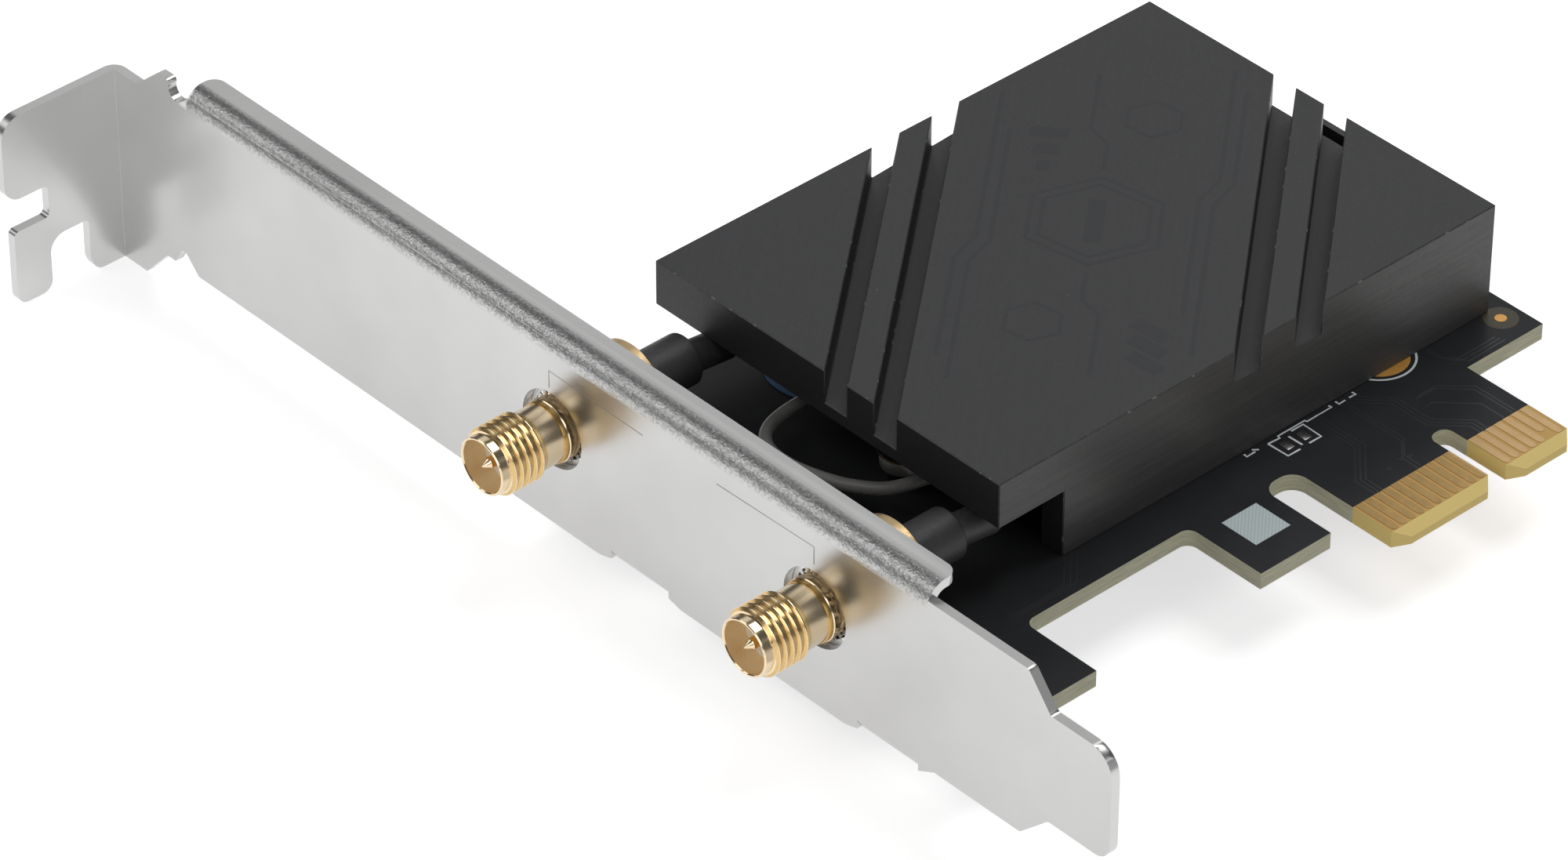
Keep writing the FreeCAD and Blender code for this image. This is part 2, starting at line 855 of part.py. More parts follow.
def make_module():
    top = s.module_underside + s.module_thickness
    plate = block(None, module_left(), s.module_front, s.module_underside,
                  s.module_width, s.module_length, s.module_thickness)
    notch = cylinder(s.module_notch_radius, s.module_thickness * 3, s.module_middle, s.module_front,
                     s.module_underside - s.module_thickness)
    cut(plate, notch, "module_board")
    shield = new_body("module_shield")
    left = module_left() + s.shield_inset
    right = left + s.module_width - s.shield_inset * 2
    lid = rectangle(new_sketch(shield, "XY_Plane", top), left, right, s.shield_front, s.shield_back)
    pad(shield, lid, s.shield_height)
    corners = [(a, b) for a in (left, right) for b in (s.shield_front, s.shield_back)]
    round_corners(shield, "XY_Plane", corners, s.shield_round)
    hollow = rectangle(new_sketch(shield, "XY_Plane", top), left + s.shield_sheet, right - s.shield_sheet,
                       s.shield_front + s.shield_sheet, s.shield_back - s.shield_sheet)
    cut_deep(shield, hollow, s.shield_height - s.shield_sheet, reverse=True)
    pad_low = top + s.shield_height
    block("thermal_pad", left + s.pad_inset, s.shield_front + s.pad_inset, pad_low,
          right - left - s.pad_inset * 2, s.shield_back - s.shield_front - s.pad_inset * 2, s.ceiling - pad_low)
    standoff = new_body("standoff")
    turn(standoff, [
        (s.standoff_tap_radius, ZERO),
        (s.standoff_radius, ZERO),
        (s.standoff_radius, s.module_underside),
        (s.standoff_neck_radius, s.module_underside),
        (s.standoff_neck_radius, top),
        (s.standoff_tap_radius, top),
    ])
    place(standoff, s.module_middle, s.module_front)


def make_socket():
    clear = s.socket_clearance
    left = module_left() - s.socket_side
    width = s.module_width + s.socket_side * 2
    depth = s.socket_back - s.socket_front
    body = block(None, left, s.socket_front, ZERO, width, depth, s.socket_height)
    mouth_depth = s.module_front + s.module_length - s.socket_front + clear * 2
    mouth = block(None, module_left() - clear, s.socket_front - clear, s.module_underside - clear,
                  s.module_width + clear * 2, mouth_depth, s.socket_height)
    cut(body, mouth, "module_socket")
    feet = []
    first = module_left() + s.socket_foot_inset
    for step in range(SOCKET_FEET):
        foot = block(None, first + s.socket_foot_pitch * step, s.socket_back, ZERO,
                     s.socket_foot_width, s.socket_foot_reach, s.socket_foot_height)
        feet.append(foot)
    gathered = doc.addObject("Part::Compound", "Compound")
    gathered.Links = feet
    keep(gathered, "socket_contacts")


# Coax jacks, their leads and plugs

def lie_along_y(thing, across):
    """Turn a piece made round Z so that its Z runs along Y, and set it on a jack's axis."""
    thing.Placement.Rotation = FreeCAD.Rotation(FreeCAD.Vector(1, 0, 0), -90)
    place(thing, across, ZERO, s.jack_height)


def make_jack(number, across):
    barrel = new_body(f"jack_{number}_barrel")
    turn(barrel, [
        (s.bore_radius, s.mouth),
        (s.collar_radius, s.mouth),
        (s.collar_radius, s.collar_end),
        (s.thread_radius, s.collar_end),
        (s.thread_radius, s.thread_end),
        (s.neck_radius, s.thread_end),
        (s.neck_radius, s.neck_end),
        (s.shank_radius, s.neck_end),
        (s.shank_radius, s.rear_start),
        (s.rear_radius, s.rear_start),
        (s.rear_radius, s.rear_collar),
        (s.rear_collar_radius, s.rear_collar),
        (s.rear_collar_radius, s.rear_collar_end),
        (s.crimp_radius, s.rear_collar_end),
        (s.crimp_radius, s.crimp_end),
        (ZERO, s.crimp_end),
        (ZERO, s.rear_collar),
        (s.bore_radius, s.rear_collar),
    ])
    add_foot(barrel)
    insulator = new_body(f"jack_{number}_insulator")
    turn(insulator, [
        (s.pin_radius, s.insulator_face),
        (s.bore_radius, s.insulator_face),
        (s.bore_radius, s.rear_collar),
        (s.pin_radius, s.rear_collar),
    ])
    pin = new_body(f"jack_{number}_pin")
    turn(pin, [
        (ZERO, s.pin_tip),
        (s.pin_radius, s.pin_tip + s.pin_cone),
        (s.pin_radius, s.rear_collar),
        (ZERO, s.rear_collar),
    ])
    boot = make_tube(f"jack_{number}_boot", s.boot_radius, s.boot_bore, s.rear_collar_end,
                     s.boot_end - s.rear_collar_end)
    for piece in (barrel, insulator, pin, boot):
        lie_along_y(piece, across)


def add_foot(barrel):
    """Foot under the back of a jack, which stands on the board, and its four soldered legs."""
    half = s.foot_width / 2
    foot = rectangle(new_sketch(barrel, "XY_Plane", s.foot_front), -half, half, s.bore_radius, s.jack_height)
    pad(barrel, foot, s.rear_collar_end - s.foot_front)
    legs = new_sketch(barrel, "XZ_Plane", -s.jack_height)
    for side, along in jack_leg_places():
        circle(legs, side, along, s.leg_radius)
    pad(barrel, legs, s.board_thickness + s.leg_below, reverse=True)


def make_tube(label, radius, bore, low, length):
    outside = cylinder(radius, length, z=low)
    inside = cylinder(bore, length * 3, z=low - length)
    return cut(outside, inside, label)


def tangent_route(points):
    """Wire of straight runs joined by tangent arcs, each as large as its two runs allow."""
    edges = []
    start = points[0]
    for before, corner, after in zip(points, points[1:], points[2:]):
        back = (before - corner)
        ahead = (after - corner)
        half_turn = (math.pi - back.getAngle(ahead)) / 2
        trim = 0.45 * min(back.Length, ahead.Length)
        radius = trim / math.tan(half_turn)
        back.normalize()
        ahead.normalize()
        enter = corner + back * trim
        leave = corner + ahead * trim
        inward = (back + ahead).normalize()
        centre_gap = radius / math.cos(half_turn)
        middle = corner + inward * (centre_gap - radius)
        edges.append(Part.LineSegment(start, enter).toShape())
        edges.append(Part.Arc(enter, middle, leave).toShape())
        start = leave
        print(f"arc radius {radius:.2f} mm")
    edges.append(Part.LineSegment(start, points[-1]).toShape())
    return Part.Wire(edges)


def make_lead(label, points):
    """Thin coax lead, swept along its route."""
    route = tangent_route(points)
    direction = (points[1] - points[0]).normalize()
    section = Part.Wire(Part.makeCircle(s.lead_radius.value, points[0], direction))
    lead = doc.addObject("Part::Feature", "Lead")
    lead.Shape = route.makePipeShell([section], True, True)
    expected = math.pi * s.lead_radius.value ** 2 * route.Length
    print(f"{label}: volume {lead.Shape.Volume:.3f}, section times length {expected:.3f}")
    keep(lead, label)


def make_cover(label, start, towards):
    """Sleeve that stiffens a lead where it leaves its jack."""
    axis = (towards - start).normalize()
    scale = 1 / axis.y
    low = start + axis * ((s.cover_start.value - start.y) * scale)
    length = (s.cover_end.value - s.cover_start.value) * scale
    outside = Part.makeCylinder(s.cover_radius.value, length, low, axis)
    inside = Part.makeCylinder(s.cover_bore.value, length, low, axis)
    cover = doc.addObject("Part::Feature", "Cover")
    cover.Shape = outside.cut(inside)
    keep(cover, label)


def make_plug(label, across, along, heading):
    """Right-angle plug on the module: a round cap and the barrel that grips the lead."""
    low = s.module_underside + s.module_thickness
    cap = cylinder(s.plug_radius, s.plug_height, across, along, low)
    barrel = cylinder(s.plug_barrel_radius, s.plug_barrel_length, across, along, low + s.plug_axis)
    outward = FreeCAD.Vector(math.cos(math.radians(heading)), math.sin(math.radians(heading)), 0)
    barrel.Placement.Rotation = FreeCAD.Rotation(FreeCAD.Vector(0, 0, 1), outward)
    return joined([cap, barrel], label)


def plug_mouth(across, along, heading):
    reach = s.plug_barrel_length.value + s.lead_gap.value
    angle = math.radians(heading)
    height = s.module_underside.value + s.module_thickness.value + s.plug_axis.value
    return FreeCAD.Vector(across.value + reach * math.cos(angle), along.value + reach * math.sin(angle), height)


def make_leads():
    """Both leads: the first makes the loop that shows in front of the heatsink, the second goes straight."""
    plugs = [
        (s.first_plug_across, s.first_plug_along, FIRST_PLUG_HEADING),
        (s.second_plug_across, s.second_plug_along, SECOND_PLUG_HEADING),
    ]
    middle_points = [
        [(-15.46, 20.6, 4.45), (-14.2, 24.0, 4.3), (-11.2, 25.6, 4.2), (-8.0, 25.5, 4.2), (-5.9, 23.4, 4.2),
         (-5.95, 20.6, 4.1), (-6.85, 17.2, 3.2), (-6.3, 14.6, 3.0), (-4.6, 13.1, 3.0), (-2.2, 12.75, 3.0),
         (0.4, 13.6, 3.0), (3.4, 15.8, 3.1), (6.5, 18.7, 3.9)],
        [(15.46, 20.23, 4.35)],
    ]
    for number, side in enumerate((-1, 1), 1):
        across = s.jack_right * side
        start = FreeCAD.Vector(across.value, s.lead_start.value, s.jack_height.value)
        plug = plugs[number - 1]
        points = [start] + [FreeCAD.Vector(*point) for point in middle_points[number - 1]]
        points.append(plug_mouth(*plug))
        make_lead(f"coax_lead_{number}", points)
        make_cover(f"jack_{number}_lead_sleeve", points[0], points[1])
        make_plug(f"coax_plug_{number}", *plug)


# Far header, sticker and small supply parts

def make_header():
    body = block(None, s.header_left, s.header_front, ZERO, s.header_width, s.header_depth, s.header_height)
    wall = s.header_wall
    hollow = block(None, s.header_left + wall, s.header_front + wall, s.header_floor,
                   s.header_width - wall * 2, s.header_depth - wall * 2, s.header_height)
    pieces = []
    half = s.header_pin_width / 2
    middle = s.header_front + s.header_depth / 2
    low = -s.board_thickness - s.header_pin_below
    holes = []
    for across in header_pin_places():
        pieces.append(block(None, across - half, middle - half, low,
                            s.header_pin_width, s.header_pin_width, s.header_pin_top - low))
        holes.append(block(None, across - half, middle - half, -s.header_floor,
                           s.header_pin_width, s.header_pin_width, s.header_floor * 3))
    cut(body, joined([hollow] + holes), "far_header")
    pins = doc.addObject("Part::Compound", "Compound")
    pins.Links = pieces
    keep(pins, "far_header_pins")


def make_small_parts():
    sticker = cylinder(s.sticker_radius, s.sticker_thickness, s.sticker_across, s.sticker_along, ZERO)
    keep(sticker, "sticker")
    coil = new_body("inductor")
    front = s.socket_back + s.socket_foot_reach + s.small_part_gap
    left = s.coil_across - s.coil_side / 2
    right = s.coil_across + s.coil_side / 2
    corners = [(left, front), (right, front), (right, front + s.coil_side), (left, front + s.coil_side)]
    pad(coil, outline(new_sketch(coil, "XY_Plane"), corners), s.coil_height)
    round_corners(coil, "XY_Plane", corners, s.coil_round)
    block("regulator", s.chip_across, front, ZERO, s.chip_length, s.chip_width, s.chip_height)
    caps = [block(None, s.cap_across + s.cap_spacing * column, front + s.cap_spacing * row, ZERO,
                  s.cap_length, s.cap_width, s.cap_height) for row in range(3) for column in range(2)]
    gathered = doc.addObject("Part::Compound", "Compound")
    gathered.Links = caps
    keep(gathered, "capacitors")


def check_and_write():
    doc.recompute()
    failed = [thing.Label for thing in doc.Objects if {"Invalid", "Error"} & set(thing.State)]
    for node in nodes:
        if node.Shape.isNull() or not node.Shape.isValid():
            failed.append(node.Label)
    if failed:
        raise RuntimeError(f"failed objects: {failed}")
    os.makedirs("parts", exist_ok=True)
    for node in nodes:
        node.Shape.exportStep(f"parts/{node.Label}.step")
    print(f"{len(nodes)} nodes written")


make_bracket()
make_board()
make_contacts("front_contacts", ZERO, [(1, 11), (12, 5), (18, 1)], 17)
make_contacts("back_contacts", -s.board_thickness - s.finger_thickness, [(2, 10), (12, 7)], 1)
make_heatsink()
make_screws()
make_module()
make_socket()
for jack_number, jack_side in enumerate((-1, 1), 1):
    make_jack(jack_number, s.jack_right * jack_side)
make_leads()
make_header()
make_small_parts()
check_and_write()
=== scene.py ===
# %% [markdown]
# A wireless network card for a desktop computer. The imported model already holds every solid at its
# real size, so this lesson only dresses it: each surface gets its finish, and pieces whose fine shape
# the solids leave plain, such as the threaded jacks, are modelled again in the same place.

# %% The frame and the shared units
import math

import bmesh
import bpy
from mathutils import Matrix, Vector


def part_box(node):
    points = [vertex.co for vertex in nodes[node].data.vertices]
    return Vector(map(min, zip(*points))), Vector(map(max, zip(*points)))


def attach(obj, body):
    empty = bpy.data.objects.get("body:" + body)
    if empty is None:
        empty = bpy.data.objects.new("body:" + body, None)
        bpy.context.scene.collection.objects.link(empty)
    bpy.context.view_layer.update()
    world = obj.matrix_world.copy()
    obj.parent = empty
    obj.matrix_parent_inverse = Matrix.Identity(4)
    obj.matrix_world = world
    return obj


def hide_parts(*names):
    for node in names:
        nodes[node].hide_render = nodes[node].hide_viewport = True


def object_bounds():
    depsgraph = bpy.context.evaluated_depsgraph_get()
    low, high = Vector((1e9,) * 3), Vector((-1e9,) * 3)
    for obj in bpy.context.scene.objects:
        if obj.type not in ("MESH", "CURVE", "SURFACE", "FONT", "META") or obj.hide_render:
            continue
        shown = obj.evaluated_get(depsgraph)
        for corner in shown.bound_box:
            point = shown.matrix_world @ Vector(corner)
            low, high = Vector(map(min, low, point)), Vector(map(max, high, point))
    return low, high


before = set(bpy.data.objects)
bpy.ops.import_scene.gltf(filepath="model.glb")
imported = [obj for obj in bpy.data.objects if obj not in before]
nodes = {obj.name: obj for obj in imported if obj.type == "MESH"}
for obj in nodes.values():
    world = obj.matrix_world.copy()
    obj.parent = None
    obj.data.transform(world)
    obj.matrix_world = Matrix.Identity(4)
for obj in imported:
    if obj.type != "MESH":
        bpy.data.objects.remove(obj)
bpy.context.view_layer.update()
cad_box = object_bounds()
MM = 0.001
ROOT = "root"
print(len(nodes), "solids loaded")

# %% [markdown]
# The camera stands high and to the right of the bracket, far away with a long lens, so that the card's
# parallel edges stay nearly parallel. Its place was solved from the standard sizes of the bracket. A
# constraint could aim it at the card, but here its right, up and back directions are the columns of one
# matrix, which also holds the photograph's slight tilt.

# %% Camera
CAMERA_PLACE = Vector((0.35815, -0.31687, 0.37531))
VIEW_DIRECTION = Vector((-0.58850, 0.53857, -0.60300)).normalized()
RIGHT_TILT = 0.0038
LENS = 176.94
SENSOR = 36.0


def make_camera():
    data = bpy.data.cameras.new("camera")
    data.lens = LENS
    data.sensor_width = SENSOR
    data.clip_start = 0.01
    camera = bpy.data.objects.new("camera", data)
    bpy.context.collection.objects.link(camera)
    level = VIEW_DIRECTION.cross(Vector((0, 0, 1))).normalized()
    right = (level + Vector((0, 0, RIGHT_TILT))).normalized()
    up = right.cross(VIEW_DIRECTION).normalized()
    right = VIEW_DIRECTION.cross(up).normalized()
    turn = Matrix((right, up, -VIEW_DIRECTION)).transposed()
    camera.matrix_world = Matrix.Translation(CAMERA_PLACE) @ turn.to_4x4()
    bpy.context.scene.camera = camera
    return camera


camera = make_camera()
print("camera", [round(value, 3) for value in camera.location])

# %% [markdown]
# The card lies on white paper. The floor catches a soft shadow, and it adds white for the camera and
# for reflections, so that the polished metal shows it. A brighter lamp could whiten it too, but that
# would also bleach the card. From below the camera looks through the floor, while it still blocks and
# bounces the light.

# %% Floor
FLOOR_GAP = 0.00005
FLOOR_SIZE = 4.0
FLOOR_COLOUR = (0.80, 0.80, 0.80, 1)
FLOOR_LIFT = 0.66


def calculate(tree, first, operation, second):
    """Result of a Math node. Each value is a number or an output."""
    node = tree.nodes.new("ShaderNodeMath")
    node.operation = operation
    for socket, value in zip(node.inputs, (first, second)):
        if isinstance(value, (int, float)):
            socket.default_value = value
        else:
            tree.links.new(value, socket)
    return node.outputs[0]


def clear_from_below(tree, shader, rays):
    """Makes the floor's underside clear for the camera alone, so that it hides nothing from below."""
    surface = tree.nodes.new("ShaderNodeNewGeometry")
    below = calculate(tree, surface.outputs["Backfacing"], "MULTIPLY", rays.outputs["Is Camera Ray"])
    clear = tree.nodes.new("ShaderNodeBsdfTransparent")
    either = tree.nodes.new("ShaderNodeMixShader")
    tree.links.new(below, either.inputs[0])
    tree.links.new(shader.outputs[0], either.inputs[1])
    tree.links.new(clear.outputs[0], either.inputs[2])
    tree.links.new(either.outputs[0], tree.nodes["Material Output"].inputs["Surface"])


def make_paper():
    material = bpy.data.materials.new("white_paper")
    material.use_nodes = True
    tree = material.node_tree
    shader = tree.nodes["Principled BSDF"]
    shader.inputs["Base Color"].default_value = FLOOR_COLOUR
    shader.inputs["Roughness"].default_value = 0.9
    shader.inputs["Specular IOR Level"].default_value = 0.0
    shader.inputs["Emission Color"].default_value = (1, 1, 1, 1)
    rays = tree.nodes.new("ShaderNodeLightPath")
    seen = calculate(tree, rays.outputs["Is Camera Ray"], "MAXIMUM", rays.outputs["Is Glossy Ray"])
    seen = calculate(tree, seen, "MAXIMUM", rays.outputs["Is Transmission Ray"])
    tree.links.new(calculate(tree, seen, "MULTIPLY", FLOOR_LIFT), shader.inputs["Emission Strength"])
    clear_from_below(tree, shader, rays)
    return material


def make_floor():
    bm = bmesh.new()
    bmesh.ops.create_grid(bm, x_segments=1, y_segments=1, size=FLOOR_SIZE / 2)
    bmesh.ops.translate(bm, verts=bm.verts, vec=(0, 0, cad_box[0].z - FLOOR_GAP))
    mesh = bpy.data.meshes.new("floor")
    bm.to_mesh(mesh)
    bm.free()
    mesh.materials.append(make_paper())
    floor = bpy.data.objects.new("floor", mesh)
    bpy.context.collection.objects.link(floor)
    return floor


floor = make_floor()
print("floor at", round(floor.data.vertices[0].co.z / MM, 2), "mm")

# %% [markdown]
# The photograph's light comes from large soft boxes, one overhead and weaker ones round the card. Area
# lamps make such light, and their size sets how soft a shadow or a bright band is. Point lamps would
# leave hard little glints on the gold instead. Each lamp faces the middle of the card, and its
# direction and power were matched to the bands that the photograph shows.

# %% Lamps
CARD_MIDDLE = Vector((-0.010, 0.035, 0.004))
LAMPS = (
    ("overhead_box", (0.0, 0.45, 1.0), 0.9, (0.5, 0.6), 2.8),
    ("back_left_box", (-0.66, 0.62, 0.48), 0.9, (0.8, 0.6), 0.98),
    ("front_left_box", (-0.60, -0.56, 0.57), 0.8, (0.42, 0.32), 0.55),
    ("front_top_box", (-0.12, -0.56, 0.82), 0.8, (0.42, 0.32), 0.62),
    ("front_box", (0.30, -1.0, 0.35), 0.9, (0.5, 0.4), 1.28),
    ("right_box", (1.0, 0.1, 0.45), 0.8, (0.6, 0.5), 1.0),
)


def make_lamp(name, direction, distance, size, power):
    data = bpy.data.lights.new(name, "AREA")
    data.shape = "RECTANGLE"
    data.size, data.size_y = size
    data.energy = power
    lamp = bpy.data.objects.new(name, data)
    bpy.context.collection.objects.link(lamp)
    towards = Vector(direction).normalized()
    lamp.location = CARD_MIDDLE + towards * distance
    lamp.rotation_euler = towards.to_track_quat("Z", "Y").to_euler()


for lamp in LAMPS:
    make_lamp(*lamp)
print(len(LAMPS), "lamps")

# %% [markdown]
# Behind the card all is plain white. A white world shows as that, but at full strength it would fill
# every shadow, so only the camera sees it white, and the card gets a tenth of it.

# %% World
WORLD_LEVEL = 0.1


def make_world():
    world = bpy.data.worlds.new("studio")
    world.use_nodes = True
    tree = world.node_tree
    sky = tree.nodes["Background"]
    sky.inputs["Color"].default_value = (1, 1, 1, 1)
    rays = tree.nodes.new("ShaderNodeLightPath")
    strength = calculate(tree, rays.outputs["Is Camera Ray"], "MAXIMUM", WORLD_LEVEL)
    tree.links.new(strength, sky.inputs["Strength"])
    bpy.context.scene.world = world


make_world()
bpy.context.scene.view_settings.view_transform = "Standard"
print("world", bpy.context.scene.world.name, "at", WORLD_LEVEL)

# %% [markdown]
# Several finishes share an effect. A grain is a fine noise that breaks up a smooth surface, and
# streaks are the same noise stretched along one direction, as a brush or a milling cutter leaves.
# Each material could hold its own noise, but a node group with named inputs is built only once.

# %% Grain as a node group
def add_node(tree, kind, **inputs):
    node = tree.nodes.new(kind)
    for name, value in inputs.items():
        node.inputs[name.replace("_", " ")].default_value = value
    return node


def new_group(name, inputs, outputs):
    group = bpy.data.node_groups.new(name, "ShaderNodeTree")
    for label, kind, value in inputs:
        socket = group.interface.new_socket(label, in_out="INPUT", socket_type=kind)
        if value is not None:
            socket.default_value = value
    for label, kind in outputs:
        group.interface.new_socket(label, in_out="OUTPUT", socket_type=kind)
    return group, group.nodes.new("NodeGroupInput"), group.nodes.new("NodeGroupOutput")


def make_grain_group():
    """Noise between two levels: Value runs from Low to High."""
    group, start, end = new_group("surface_grain", [
        ("Vector", "NodeSocketVector", None),
        ("Scale", "NodeSocketFloat", 4000.0),
        ("Low", "NodeSocketFloat", 0.0),
        ("High", "NodeSocketFloat", 1.0),
    ], [("Value", "NodeSocketFloat")])
    noise = add_node(group, "ShaderNodeTexNoise", Detail=3.0, Roughness=0.6)
    spread = add_node(group, "ShaderNodeMapRange", From_Min=0.3, From_Max=0.7)
    group.links.new(start.outputs["Vector"], noise.inputs["Vector"])
    group.links.new(start.outputs["Scale"], noise.inputs["Scale"])
    group.links.new(noise.outputs["Fac"], spread.inputs["Value"])
    group.links.new(start.outputs["Low"], spread.inputs["To Min"])
    group.links.new(start.outputs["High"], spread.inputs["To Max"])
    group.links.new(spread.outputs["Result"], end.inputs["Value"])
    return group


GRAIN = make_grain_group()
print("group", GRAIN.name)

# %% [markdown]
# A worn edge has lost small specks of its coating. Voronoi cells give each speck a centre of its own,
# and all that lies nearer to it than a set size is bare. Noise cut off at a level would give ragged
# islands, and those look like stains.

# %% Specks as a node group
def make_speck_group():
    """Small isolated specks: Mask is 1 on a speck and 0 elsewhere."""
    group, start, end = new_group("specks", [
        ("Vector", "NodeSocketVector", None),
        ("Scale", "NodeSocketFloat", 900.0),
        ("Size", "NodeSocketFloat", 0.12),
    ], [("Mask", "NodeSocketFloat")])
    cells = group.nodes.new("ShaderNodeTexVoronoi")
    inside = group.nodes.new("ShaderNodeMath")
    inside.operation = "LESS_THAN"
    group.links.new(start.outputs["Vector"], cells.inputs["Vector"])
    group.links.new(start.outputs["Scale"], cells.inputs["Scale"])
    group.links.new(cells.outputs["Distance"], inside.inputs[0])
    group.links.new(start.outputs["Size"], inside.inputs[1])
    group.links.new(inside.outputs[0], end.inputs["Mask"])
    return group


SPECKS = make_speck_group()
print("group", SPECKS.name)

# %% [markdown]
# Every finish is one Principled shader. Its plain numbers are set first, and patterns then feed the
# sockets that vary. Generated coordinates would stretch with a piece, so all patterns read Object
# coordinates, in metres. One Mapping node turns them and a second one stretches them, in that order,
# which gives slanted streaks.

# %% A finish and its coordinates
def new_finish(name, colour, roughness, metallic=0.0, **sockets):
    material = bpy.data.materials.new(name)
    material.use_nodes = True
    shader = material.node_tree.nodes["Principled BSDF"]
    shader.inputs["Base Color"].default_value = (*colour, 1)
    shader.inputs["Roughness"].default_value = roughness
    shader.inputs["Metallic"].default_value = metallic
    for label, value in sockets.items():
        shader.inputs[label.replace("_", " ")].default_value = value
    return material


def shader_of(material):
    return material.node_tree.nodes["Principled BSDF"]


def object_coordinates(tree, rotation=0.0, stretch=(1, 1, 1)):
    place = tree.nodes.new("ShaderNodeTexCoord")
    mapping = tree.nodes.new("ShaderNodeMapping")
    mapping.inputs["Rotation"].default_value = (0, 0, rotation)
    turned = tree.nodes.new("ShaderNodeMapping")
    turned.inputs["Scale"].default_value = stretch
    tree.links.new(place.outputs["Object"], mapping.inputs["Vector"])
    tree.links.new(mapping.outputs["Vector"], turned.inputs["Vector"])
    return turned.outputs["Vector"]


def split_vector(tree, vector):
    node = tree.nodes.new("ShaderNodeSeparateXYZ")
    tree.links.new(vector, node.inputs[0])
    return node.outputs


print("helpers new_finish, shader_of, object_coordinates, split_vector")

# %% [markdown]
# Both groups are placed in a material in the same way: a group node, its numbers and the link from the
# coordinates. So one helper does it, and two short ones name what comes out.

# %% Grain and specks in a finish
def place_group(tree, group, output, vector, **inputs):
    node = tree.nodes.new("ShaderNodeGroup")
    node.node_tree = group
    for label, value in inputs.items():
        node.inputs[label].default_value = value
    tree.links.new(vector, node.inputs["Vector"])
    return node.outputs[output]


def grain(tree, vector, scale, low=0.0, high=1.0):
    return place_group(tree, GRAIN, "Value", vector, Scale=scale, Low=low, High=high)


def specks(tree, vector, scale, size):
    return place_group(tree, SPECKS, "Mask", vector, Scale=scale, Size=size)


print("helpers grain, specks")

# %% [markdown]
# A pattern often chooses between two colours or two numbers, and a Mix node does that. A Map Range node
# turns a place into a mask with a soft edge. A bump lifts the surface in the shading only, which is
# enough for a grain that is finer than a pixel, where real relief would cost millions of faces.

# %% Mixing, masks and bumps
FINE_DEPTH = 0.00002


def mix_colour(tree, factor, first, second):
    """Colour between two others. Each is a tuple or an output."""
    node = tree.nodes.new("ShaderNodeMix")
    node.data_type = "RGBA"
    tree.links.new(factor, node.inputs[0])
    for socket, value in ((node.inputs[6], first), (node.inputs[7], second)):
        if isinstance(value, tuple):
            socket.default_value = (*value, 1)
        else:
            tree.links.new(value, socket)
    return node.outputs[2]


def mix_number(tree, factor, first, second):
    node = tree.nodes.new("ShaderNodeMix")
    tree.links.new(factor, node.inputs[0])
    node.inputs[2].default_value = first
    node.inputs[3].default_value = second
    return node.outputs[0]


def bump(tree, shader, height, strength, depth):
    node = tree.nodes.new("ShaderNodeBump")
    node.inputs["Strength"].default_value = strength
    node.inputs["Distance"].default_value = depth
    tree.links.new(height, node.inputs["Height"])
    tree.links.new(node.outputs["Normal"], shader.inputs["Normal"])


def ramp(tree, value, start, end, low, high):
    node = add_node(tree, "ShaderNodeMapRange", From_Min=start, From_Max=end, To_Min=low, To_Max=high)
    tree.links.new(value, node.inputs["Value"])
    return node.outputs["Result"]


print("helpers mix_colour, mix_number, bump, ramp")

# %% [markdown]
# The bracket is sheet steel with a satin nickel plate. Flat parts look even, but where the long flange
# bends, the stretched steel has turned coarse and speckled. A mask finds that bend by its height, its
# depth and its two ends, and inside it a coarse grain darkens the colour in spots. A strong bump could
# speckle it too, but it would also break up the light bands along the bend, so the bump is shallow.

# %% Nickel plate
NICKEL = (0.62, 0.62, 0.615)
NICKEL_DULL = (0.57, 0.57, 0.565)
NICKEL_COARSE = (0.45, 0.45, 0.445)
BEND_LOW, BEND_BACK = 12.5 * MM, 1.9 * MM
BEND_START, BEND_END = -61.2 * MM, 28.0 * MM
BEND_FADE = 0.5 * MM
DRIFT_SCALE, SPOT_SCALE, BUMP_SCALE = 60.0, 3400.0, 4600.0
SATIN = (0.27, 0.31)
SPOT_START, SPOT_END = 0.4, 0.6
FLAT_LEVEL = 0.05
BUMP_DEPTH = 0.000022


def bend_mask(tree, place):
    """1 in the bend of the long flange and 0 on the rest of the bracket."""
    where = split_vector(tree, place)
    high = ramp(tree, where["Z"], BEND_LOW, BEND_LOW + BEND_FADE, 0.0, 1.0)
    front = ramp(tree, where["Y"], BEND_BACK - BEND_FADE, BEND_BACK, 1.0, 0.0)
    mask = calculate(tree, high, "MULTIPLY", front)
    for operation, end in (("GREATER_THAN", BEND_START), ("LESS_THAN", BEND_END)):
        mask = calculate(tree, mask, "MULTIPLY", calculate(tree, where["X"], operation, end))
    return mask


def make_nickel():
    material = new_finish("satin_nickel", NICKEL, 0.3, metallic=1.0)
    tree = material.node_tree
    shader = shader_of(material)
    place = object_coordinates(tree)
    drift = grain(tree, place, DRIFT_SCALE)
    even = mix_colour(tree, drift, NICKEL, NICKEL_DULL)
    tree.links.new(mix_number(tree, drift, *SATIN), shader.inputs["Roughness"])
    bend = bend_mask(tree, place)
    coarse = ramp(tree, grain(tree, place, SPOT_SCALE), SPOT_START, SPOT_END, 0.0, 1.0)
    spots = calculate(tree, coarse, "MULTIPLY", bend)
    tree.links.new(mix_colour(tree, spots, even, NICKEL_COARSE), shader.inputs["Base Color"])
    level = ramp(tree, bend, 0.0, 1.0, FLAT_LEVEL, 1.0)
    height = calculate(tree, grain(tree, place, BUMP_SCALE), "MULTIPLY", level)
    bump(tree, shader, height, 1.0, BUMP_DEPTH)
    return material


